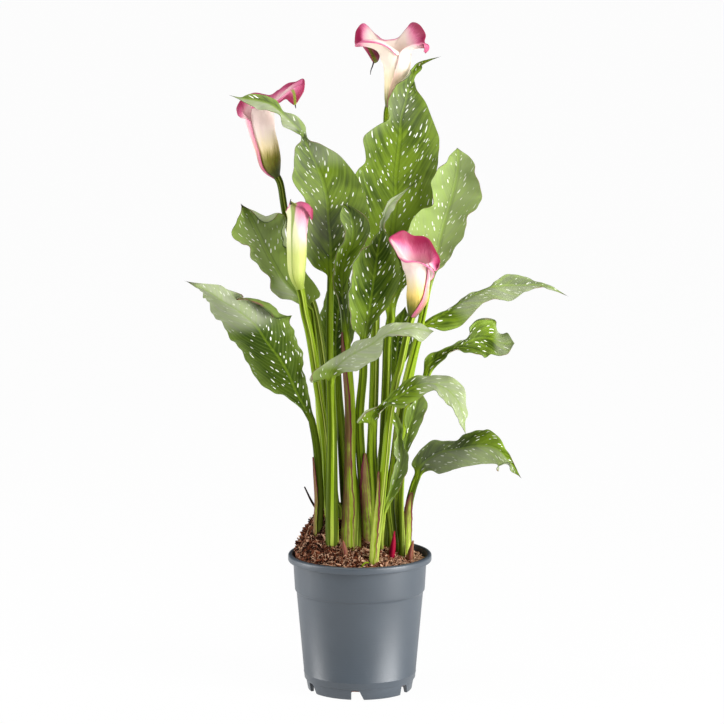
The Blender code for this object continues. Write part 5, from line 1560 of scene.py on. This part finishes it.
class LILY_OT_sheaths(bpy.types.Operator):
    """Build the papery sheaths round the feet of some stalks"""

    bl_idname = "lily.sheaths"
    bl_label = "Sheaths"

    def execute(self, context):
        colours = context.scene.lily_colours
        columns, rows = SHEATH_COLUMNS, SHEATH_ROWS
        tints = (colours.sheath, colours.stalk_pale, colours.stalk_green)
        for number, (name, sheath) in enumerate(SHEATHS.items()):
            finish = papery_finish(f"papery_{name}", *tints, sheath["cover"])
            path, ground = held_stem(sheath["holds"])
            up = np.linspace(0.0, 1.0, rows + 1)
            heights = ground - SHEATH_SOCKET + (sheath["tip"] + SHEATH_SOCKET) * up
            stem = np.stack([np.interp(heights, path[:, 2], path[:, k]) for k in range(4)], axis=1)
            across = np.linspace(-1.0, 1.0, columns + 1)
            narrowing = 1.0 - SHEATH_TAPER * up**SHEATH_POINTEDNESS
            ragged = 1.0 + 0.05 * np.sin(up * 37.0 + number) + 0.03 * np.sin(up * 83.0 + 2.0 * number)
            turn = math.radians(sheath["facing"])
            turn = turn + across[None, :] * (math.radians(sheath["wrap"]) / 2.0 * narrowing * ragged)[:, None]
            curl = np.abs(across)[None, :] ** 4 * 0.5 * fade(up, 0.2, 0.9)[:, None]
            radius = (stem[:, 3] + SHEATH_CLEARANCE + SHEATH_FLARE * up**2)[:, None] + curl
            x, y = stem[:, 0:1] + radius * np.cos(turn), stem[:, 1:2] + radius * np.sin(turn)
            points = np.stack([x, y, over_columns(heights, columns)], axis=2)
            around = (across[None, :] + 1.0) / 2.0 * np.ones((rows + 1, 1))
            uv = np.stack([around, over_columns((heights - ground) / UV_UNIT, columns)], axis=2)
            rise = {"rise": over_columns(up, columns)}
            bm = bent_grid(f"papery_{name}", points, {"sheet": uv}, rise)
            walled(finished(f"papery_{name}", bm, [finish], [name]), SHEATH_WALL)
        return {"FINISHED"}


class LILY_OT_shoots(bpy.types.Operator):
    """Build the young shoots and the dry stick"""

    bl_idname = "lily.shoots"
    bl_label = "Shoots"

    def execute(self, context):
        colours = context.scene.lily_colours
        finishes = {
            "sprout": papery_finish("young_shoot", colours.wine, colours.crimson, colours.crimson),
            "sheath": papery_finish("purple_shoot", colours.sheath, colours.stalk_pale, colours.crimson, 1.2),
            "dry_stick": papery_finish("dry_wood", colours.tail, colours.stick, colours.coir_dark),
        }
        for name, shoot in SHOOTS.items():
            x, y = shoot["foot"]
            ground = soil_height(x, y)
            points = [(x + dx, y + dy, ground + dz, r) for dx, dy, dz, r in shoot["rise"]]
            foot = (x, y, ground - SHOOT_SOCKET_DEPTH + GAP, points[0][3])
            grid, uvs = rod_grid([foot, *points], 20, 0.8)
            turn, row = turns_and_rows(grid)
            up = row / len(grid)
            ridge = 0.06 * np.cos(turn * 3.0 + up * 4.0) + 0.04 * np.cos(turn * 7.0 - up * 9.0)
            bm = closed(bent_grid(f"young_{name}", swollen(grid, ridge), uvs))
            finished(f"young_{name}", bm, [finishes[shoot["slot"]]], [name])
        return {"FINISHED"}


# Soil


def rough_height(x, y):
    """Height of the crumbly soil at a place in plan."""
    rough = noise.fractal(Vector((x * CRUMB_SCALE, y * CRUMB_SCALE, 3.0)), 0.7, 2.1, 4)
    rim = max(0.0, min(1.0, (SOIL_EDGE_RADIUS - math.hypot(x, y)) / CRUMB_FADE))
    return soil_height(x, y) + rough * CRUMB_HEIGHT * rim - CRUMB_DROP


def stems_in_soil():
    """Every stem's foot and radius."""
    feet = [(leaf["foot"], leaf["thick"][0]) for leaf in LEAVES.values()]
    feet += [(flower["foot"], flower["thick"][0]) for flower in FLOWERS.values()]
    return feet + [(shoot["foot"], shoot["rise"][0][3]) for shoot in SHOOTS.values()]


def open_place(rng, feet, edge):
    """A place on the soil that no stem stands in."""
    while True:
        radius, turn = edge * math.sqrt(rng.random()), rng.random() * math.tau
        x, y = radius * math.cos(turn), radius * math.sin(turn)
        if all(math.hypot(x - fx, y - fy) > r + 0.6 for (fx, fy), r in feet):
            return x, y


def soil_bed():
    """The closed body of soil, crumbly on top."""
    turn = np.linspace(0.0, math.tau, SOIL_COLUMNS + 1)
    step = POT_HEIGHT - STEP_DROP
    wall = [
        (0.0, FLOOR_TOP + GAP), (FOOT_TOP_RADIUS - WALL - GAP, FLOOR_TOP + GAP),
        (LOWER_WALL_BASE_RADIUS - WALL - GAP, FOOT_HEIGHT + WALL),
        (LOWER_WALL_TOP_RADIUS - WALL - GAP, step - WALL),
        (STEP_RADIUS - WALL - GAP, step + STEP_ROUND),
        (UPPER_WALL_RADIUS - WALL - GAP, POT_HEIGHT - LIP_HEIGHT - WALL),
    ]
    rows = [[(r * math.cos(t), r * math.sin(t), z) for t in turn] for r, z in wall]
    for radius in np.linspace(UPPER_WALL_RADIUS - WALL - GAP, 0.0, SOIL_RINGS):
        places = [(radius * math.cos(t), radius * math.sin(t)) for t in turn]
        rows.append([(x, y, rough_height(x, y)) for x, y in places])
    points = np.array(rows)
    points[:, -1] = points[:, 0]
    points[-1] = points[-1].mean(axis=0)
    return closed(bent_grid("coir_bed", points))


def scattered(name, shapes):
    """One bmesh of many small shapes: each a function that adds its own, and its hue."""
    bm = bmesh.new()
    hue = bm.verts.layers.float.new("hue")
    for add, tint in shapes:
        for vert in add(bm):
            vert[hue] = tint
    bmesh.ops.transform(bm, matrix=TO_PLACE, verts=bm.verts)
    return bm


def coir_shade(x):
    """How dark the loose coir is: more so on the mound, less where it lies open on the right."""
    return 2.3 - x / 28.0


def chip(rng, x, y, z):
    """A splinter of coir: a box skewed into a rough wedge and turned at random."""
    long, wide, thick = rng.uniform(1.6, 7.5), rng.uniform(0.5, 2.4), rng.uniform(0.3, 1.2)
    turn = Matrix.Rotation(rng.random() * math.tau, 4, "Z") @ Matrix.Rotation(rng.gauss(0.0, 0.6), 4, "Y")
    turn = turn @ Matrix.Rotation(rng.random() * math.tau, 4, "X")
    skews = [rng.uniform(0.45, 1.15) for _ in range(8)]

    def add(bm):
        made = bmesh.ops.create_cube(bm, size=1.0)["verts"]
        for vert, skew in zip(made, skews):
            vert.co = Vector((vert.co.x * long, vert.co.y * wide * skew, vert.co.z * thick * skew))
        bmesh.ops.transform(bm, matrix=Matrix.Translation((x, y, z)) @ turn, verts=made)
        return made

    return add


def fibre(path, radius):
    """A thin three-sided strand along a path."""

    def add(bm):
        made = bmesh.ops.create_grid(bm, x_segments=3, y_segments=len(path) - 1, size=0.5)["verts"]
        for vert in made:
            row = round((vert.co.y + 0.5) * (len(path) - 1))
            turn = (vert.co.x + 0.5) * math.tau
            thin = radius * (0.25 + 0.75 * math.sin(math.pi * (row + 0.5) / len(path)))
            ahead, behind = path[min(row + 1, len(path) - 1)], path[max(row - 1, 0)]
            along = (ahead - behind).normalized()
            across = along.orthogonal().normalized()
            vert.co = path[row] + (across * math.cos(turn) + along.cross(across) * math.sin(turn)) * thin
        return made

    return add


def strand(rng, x, y, length, rise):
    """A wandering path over the soil."""
    heading, pitch = rng.random() * math.tau, rng.gauss(0.0, 0.2)
    bend = rng.gauss(0.0, 0.35)
    points, step = [], length / (STRAND_STEPS - 1)
    z = rough_height(x, y) + rng.uniform(0.2, 1.2)
    for k in range(STRAND_STEPS):
        points.append(Vector((x, y, z)))
        heading += bend + rng.gauss(0.0, 0.25)
        x, y = x + step * math.cos(heading), y + step * math.sin(heading)
        reach = math.hypot(x, y)
        if reach > STRAND_EDGE:
            x, y = x * STRAND_EDGE / reach, y * STRAND_EDGE / reach
        lift = rise * math.sin(math.pi * (k + 1) / STRAND_STEPS)
        z = rough_height(x, y) + 0.5 + lift + pitch
    return points


class LILY_OT_soil(bpy.types.Operator):
    """Build the bed of coir with the chips and fibres that lie on it"""

    bl_idname = "lily.soil"
    bl_label = "Soil"

    def execute(self, context):
        shape, colours = context.scene.lily_shape, context.scene.lily_colours
        bed_finish = coir_finish("coir_bed", colours, False)
        loose_finish = coir_finish("loose_coir", colours, True)
        finished("coir_bed", soil_bed(), [bed_finish], ["potting_soil"])
        rng, feet = random.Random(7), stems_in_soil()
        chips = []
        for _ in range(shape.coir_chips):
            x, y = open_place(rng, feet, CHIP_EDGE)
            splinter = chip(rng, x, y, rough_height(x, y) + rng.uniform(0.0, 1.6))
            chips.append((splinter, rng.random() ** coir_shade(x)))
        bm = scattered("coir_chips", chips)
        bmesh.ops.recalc_face_normals(bm, faces=bm.faces)
        piece = finished("coir_chips", bm, [loose_finish])
        piece.data.shade_flat()
        fibres = []
        for _ in range(shape.coir_fibres):
            x, y = open_place(rng, feet, FIBRE_EDGE)
            length = rng.uniform(10.0, 22.0) if rng.random() < LONG_FIBRE_SHARE else rng.uniform(3.0, 10.0)
            thread = fibre(strand(rng, x, y, length, rng.uniform(0.0, 2.6)), rng.uniform(0.16, 0.42))
            fibres.append((thread, rng.uniform(0.15, 1.1) ** (coir_shade(x) / 2.0)))
        for root in ROOTLETS:
            path = [Vector(point) for point in smooth_curve(root, np.linspace(0.0, len(root) - 1, 14))]
            fibres.append((fibre(path, 0.9), 1.8))
        bm = scattered("coir_fibres", fibres)
        bmesh.ops.remove_doubles(bm, verts=bm.verts, dist=0.000001)
        bmesh.ops.recalc_face_normals(bm, faces=bm.faces)
        finished("coir_fibres", bm, [loose_finish])
        return {"FINISHED"}


# Pot


def arc(centre, radius, start, end, steps=6):
    """Points of an arc in the turned profile, angles in degrees."""
    turns = [math.radians(start + (end - start) * k / steps) for k in range(steps + 1)]
    return [(centre[0] + radius * math.cos(turn), centre[1] + radius * math.sin(turn)) for turn in turns]


def pot_profile():
    """The pot's closed section: over the rim, down the outer wall, under the foot and up inside."""
    step = POT_HEIGHT - STEP_DROP
    lip_foot = POT_HEIGHT - LIP_HEIGHT
    seam = FOOT_HEIGHT + SEAM_RISE
    widening = LOWER_WALL_TOP_RADIUS - LOWER_WALL_BASE_RADIUS
    seam_radius = LOWER_WALL_BASE_RADIUS + widening * SEAM_RISE / (step - FOOT_HEIGHT)
    return [
        *arc((RIM_INNER_RADIUS + INNER_ROUND, POT_HEIGHT - INNER_ROUND), INNER_ROUND, 180, 90),
        *arc((RIM_RADIUS - LIP_ROUND, POT_HEIGHT - LIP_ROUND), LIP_ROUND, 90, 0),
        *arc((RIM_RADIUS - INNER_ROUND, lip_foot + INNER_ROUND), INNER_ROUND, 0, -90, 4),
        (UPPER_WALL_RADIUS + 0.4, lip_foot), (UPPER_WALL_RADIUS, lip_foot - 0.4),
        (STEP_RADIUS + 0.25, step + STEP_ROUND * 3.0),
        *arc((STEP_RADIUS - 0.9, step + STEP_ROUND * 0.9), 0.9, 0, -60, 3),
        (LOWER_WALL_TOP_RADIUS + 0.1, step - STEP_ROUND * 0.3), (LOWER_WALL_TOP_RADIUS, step - STEP_ROUND),
        (seam_radius, seam + 0.5), (seam_radius + 0.18, seam + 0.15), (seam_radius + 0.18, seam - 0.15),
        (seam_radius - 0.05, seam - 0.5),
        (LOWER_WALL_BASE_RADIUS, FOOT_HEIGHT + STEP_ROUND / 2.0),
        (LOWER_WALL_BASE_RADIUS - 0.5, FOOT_HEIGHT), (FOOT_TOP_RADIUS + 0.2, FOOT_HEIGHT - 0.3),
        (FOOT_TOP_RADIUS, FOOT_HEIGHT - STEP_ROUND),
        (FOOT_BASE_RADIUS, 0.5), (FOOT_BASE_RADIUS - 0.5, 0.0),
        (FOOT_INNER_RADIUS + 0.3, 0.0), (FOOT_INNER_RADIUS, 0.3),
        (FOOT_INNER_RADIUS, FLOOR_UNDERSIDE), (CENTRE_DRAIN_RADIUS, FLOOR_UNDERSIDE),
        (CENTRE_DRAIN_RADIUS, FLOOR_TOP), (FOOT_TOP_RADIUS - WALL, FLOOR_TOP),
        (LOWER_WALL_BASE_RADIUS - WALL, FOOT_HEIGHT + WALL), (LOWER_WALL_TOP_RADIUS - WALL, step - WALL),
        (STEP_RADIUS - WALL, step + STEP_ROUND), (UPPER_WALL_RADIUS - WALL, lip_foot - WALL),
        (RIM_INNER_RADIUS, POT_HEIGHT - LIP_HEIGHT / 2.0),
    ]


def notches():
    """The drain notches through the foot ring, as one body for a Boolean."""
    bm = bmesh.new()
    middle = (NOTCH_INNER_RADIUS + NOTCH_OUTER_RADIUS) / 2.0
    for number in range(NOTCH_COUNT):
        made = bmesh.ops.create_cube(bm, size=1.0)["verts"]
        for vert in made:
            top, sloping = vert.co.z > 0.0, vert.co.y > 0.0
            half = NOTCH_TOP_WIDTH / 2.0
            width = half if top or not sloping else NOTCH_BASE_WIDTH - half
            reach = middle + vert.co.x * (NOTCH_OUTER_RADIUS - NOTCH_INNER_RADIUS)
            vert.co = (reach, width if sloping else -width, NOTCH_HEIGHT if top else -1.0)
        edges = dict.fromkeys(edge for vert in made for edge in vert.link_edges)
        upper = [edge for edge in edges if all(vert.co.z > 0.0 for vert in edge.verts)]
        tops = [edge for edge in upper if edge.verts[0].co.y == edge.verts[1].co.y]
        rounded = bmesh.ops.bevel(
            bm, geom=tops, offset=NOTCH_ROUND, offset_type="OFFSET", affect="EDGES", segments=4,
            profile=0.5, material=-1,
        )
        turned = list(dict.fromkeys(vert for vert in [*made, *rounded["verts"]] if vert.is_valid))
        matrix = Matrix.Rotation(NOTCH_TURN + math.tau * number / NOTCH_COUNT, 3, "Z")
        bmesh.ops.rotate(bm, verts=turned, matrix=matrix)
    bmesh.ops.transform(bm, matrix=TO_PLACE, verts=bm.verts)
    return added("notches", mesh_of("notches", bm))


class LILY_OT_pot(bpy.types.Operator):
    """Turn the pot and cut its drain notches"""

    bl_idname = "lily.pot"
    bl_label = "Pot"

    def execute(self, context):
        shape, colours = context.scene.lily_shape, context.scene.lily_colours
        bm = bmesh.new()
        verts = [bm.verts.new((radius, 0.0, height)) for radius, height in pot_profile()]
        edges = [bm.edges.new(pair) for pair in zip(verts, verts[1:] + verts[:1])]
        bmesh.ops.spin(
            bm, geom=verts + edges, cent=(0, 0, 0), axis=(0, 0, 1), angle=math.tau,
            steps=shape.turn_steps, use_merge=True,
        )
        closed(bm)
        bmesh.ops.recalc_face_normals(bm, faces=bm.faces)
        bmesh.ops.transform(bm, matrix=TO_PLACE, verts=bm.verts)
        pot = finished("grower_pot", bm, [pot_finish(colours)], ["pot"])
        cutter = notches()
        cut = pot.modifiers.new("drains", "BOOLEAN")
        cut.operation, cut.solver, cut.object = "DIFFERENCE", "EXACT", cutter
        context.view_layer.update()
        solid = bpy.data.meshes.new_from_object(pot.evaluated_get(context.evaluated_depsgraph_get()))
        pot.modifiers.clear()
        plain, pot.data = pot.data, solid
        solid.set_sharp_from_angle(angle=SHARP_ANGLE)
        solid.name = "grower_pot"
        bpy.data.meshes.remove(plain)
        bpy.data.objects.remove(cutter, do_unlink=True)
        return {"FINISHED"}


# Stage


def soft_lamp(name, power, size, place, aim_height):
    """A rectangular soft lamp that points at the pot's axis; its place is from that axis."""
    light = bpy.data.lights.new(name, "AREA")
    light.energy, light.shape = power, "RECTANGLE"
    light.size, light.size_y = size
    axis = Vector(POT_PLACE)
    lamp = added(name, light)
    lamp.location = axis + Vector(place)
    aim = axis + Vector((0.0, 0.0, aim_height)) - lamp.location
    lamp.rotation_euler = aim.to_track_quat("-Z", "Y").to_euler()


def backdrop_share(finish):
    """One for rays that see the backdrop itself: from the camera, in gloss or through glass."""
    kinds = ("Camera", "Glossy", "Transmission")
    rays = [finish.node("ShaderNodeLightPath", output=f"Is {kind} Ray") for kind in kinds]
    return rays[0].most(rays[1]).most(rays[2])


def studio_floor(studio):
    """The floor, nearly plain white to rays that see it as a backdrop."""
    bm = bmesh.new()
    bmesh.ops.create_circle(bm, cap_ends=True, segments=96, radius=FLOOR_RADIUS)
    floor = added("studio_floor", mesh_of("studio_floor", bm))
    finish = Finish("studio_floor", 0.2)
    finish.set("Base Color", (*studio.floor, 1.0))
    finish.set("Roughness", 0.7)
    paper = finish.node("ShaderNodeEmission", {}, {"Color": (1.0, 1.0, 1.0, 1.0), "Strength": 1.0})
    share, surface = backdrop_share(finish) * BACKDROP_SHARE, Value(finish, finish.shader.outputs[0])
    shown = finish.node("ShaderNodeMixShader", {}, {0: share, 1: surface, 2: paper})
    finish.tree.links.new(shown.socket, finish.tree.nodes["Material Output"].inputs["Surface"])
    floor.data.materials.append(finish.material)
    return floor


def studio_air(studio):
    """Surroundings that are dim for the object and white to the camera."""
    world = bpy.data.worlds.new("studio_air")
    world.use_nodes = True
    tree = world.node_tree
    air = tree.nodes["Background"]
    path, level = (tree.nodes.new(kind) for kind in ("ShaderNodeLightPath", "ShaderNodeMix"))
    level.data_type = "FLOAT"
    level.inputs["A"].default_value, level.inputs["B"].default_value = studio.sky, 1.0
    tree.links.new(path.outputs["Is Camera Ray"], level.inputs["Factor"])
    tree.links.new(level.outputs["Result"], air.inputs["Strength"])
    air.inputs["Color"].default_value = (1.0, 1.0, 1.0, 1.0)
    return world


def studio_camera(studio):
    """The camera in front of the plant, looking a little down."""
    lens = bpy.data.cameras.new("studio_camera")
    lens.lens, lens.sensor_width = studio.lens, SENSOR_WIDTH
    camera = added("studio_camera", lens)
    camera.location = (POT_PLACE[0] + CAMERA_RIGHT, POT_PLACE[1] - studio.distance, CAMERA_HEIGHT)
    camera.rotation_euler = (CAMERA_TILT, 0.0, 0.0)
    return camera


class LILY_OT_stage(bpy.types.Operator):
    """Set the pale floor, the soft studio lamps, the surroundings and the camera"""

    bl_idname = "lily.stage"
    bl_label = "Stage"

    def execute(self, context):
        scene, studio = context.scene, context.scene.lily_studio
        scene.view_settings.view_transform = "Standard"
        floor = studio_floor(studio)
        scene.world = studio_air(studio)
        for name, (size, place, aim_height) in LAMPS.items():
            soft_lamp(f"{name}_lamp", getattr(studio, name), size, place, aim_height)
        scene.camera = studio_camera(studio)
        return {"FINISHED"}


class LILY_PT_panel(bpy.types.Panel):
    """Settings and builders of the potted calla lily"""

    bl_label = "Calla lily"
    bl_idname = "LILY_PT_panel"
    bl_space_type = "VIEW_3D"
    bl_region_type = "UI"
    bl_category = "Calla lily"

    def draw(self, context):
        for group in (context.scene.lily_shape, context.scene.lily_colours, context.scene.lily_studio):
            box = self.layout.box()
            for name in group.bl_rna.properties.keys():
                if name not in {"rna_type", "name"}:
                    box.prop(group, name)
        for operator in BUILDERS:
            self.layout.operator(operator.bl_idname)


BUILDERS = (
    LILY_OT_pot,
    LILY_OT_soil,
    LILY_OT_leaves,
    LILY_OT_scapes,
    LILY_OT_spathes,
    LILY_OT_spadices,
    LILY_OT_sheaths,
    LILY_OT_shoots,
    LILY_OT_stage,
)
CLASSES = (PlantColours, PlantShape, StudioLight, *BUILDERS, LILY_PT_panel)


def register():
    for cls in CLASSES:
        bpy.utils.register_class(cls)
    bpy.types.Scene.lily_colours = PointerProperty(type=PlantColours)
    bpy.types.Scene.lily_shape = PointerProperty(type=PlantShape)
    bpy.types.Scene.lily_studio = PointerProperty(type=StudioLight)


def unregister():
    del bpy.types.Scene.lily_studio
    del bpy.types.Scene.lily_shape
    del bpy.types.Scene.lily_colours
    for cls in reversed(CLASSES):
        bpy.utils.unregister_class(cls)


def main():
    """Build everything."""
    register()
    for operator in BUILDERS:
        group, name = operator.bl_idname.split(".")
        getattr(getattr(bpy.ops, group), name)()


if __name__ == "__main__":
    main()
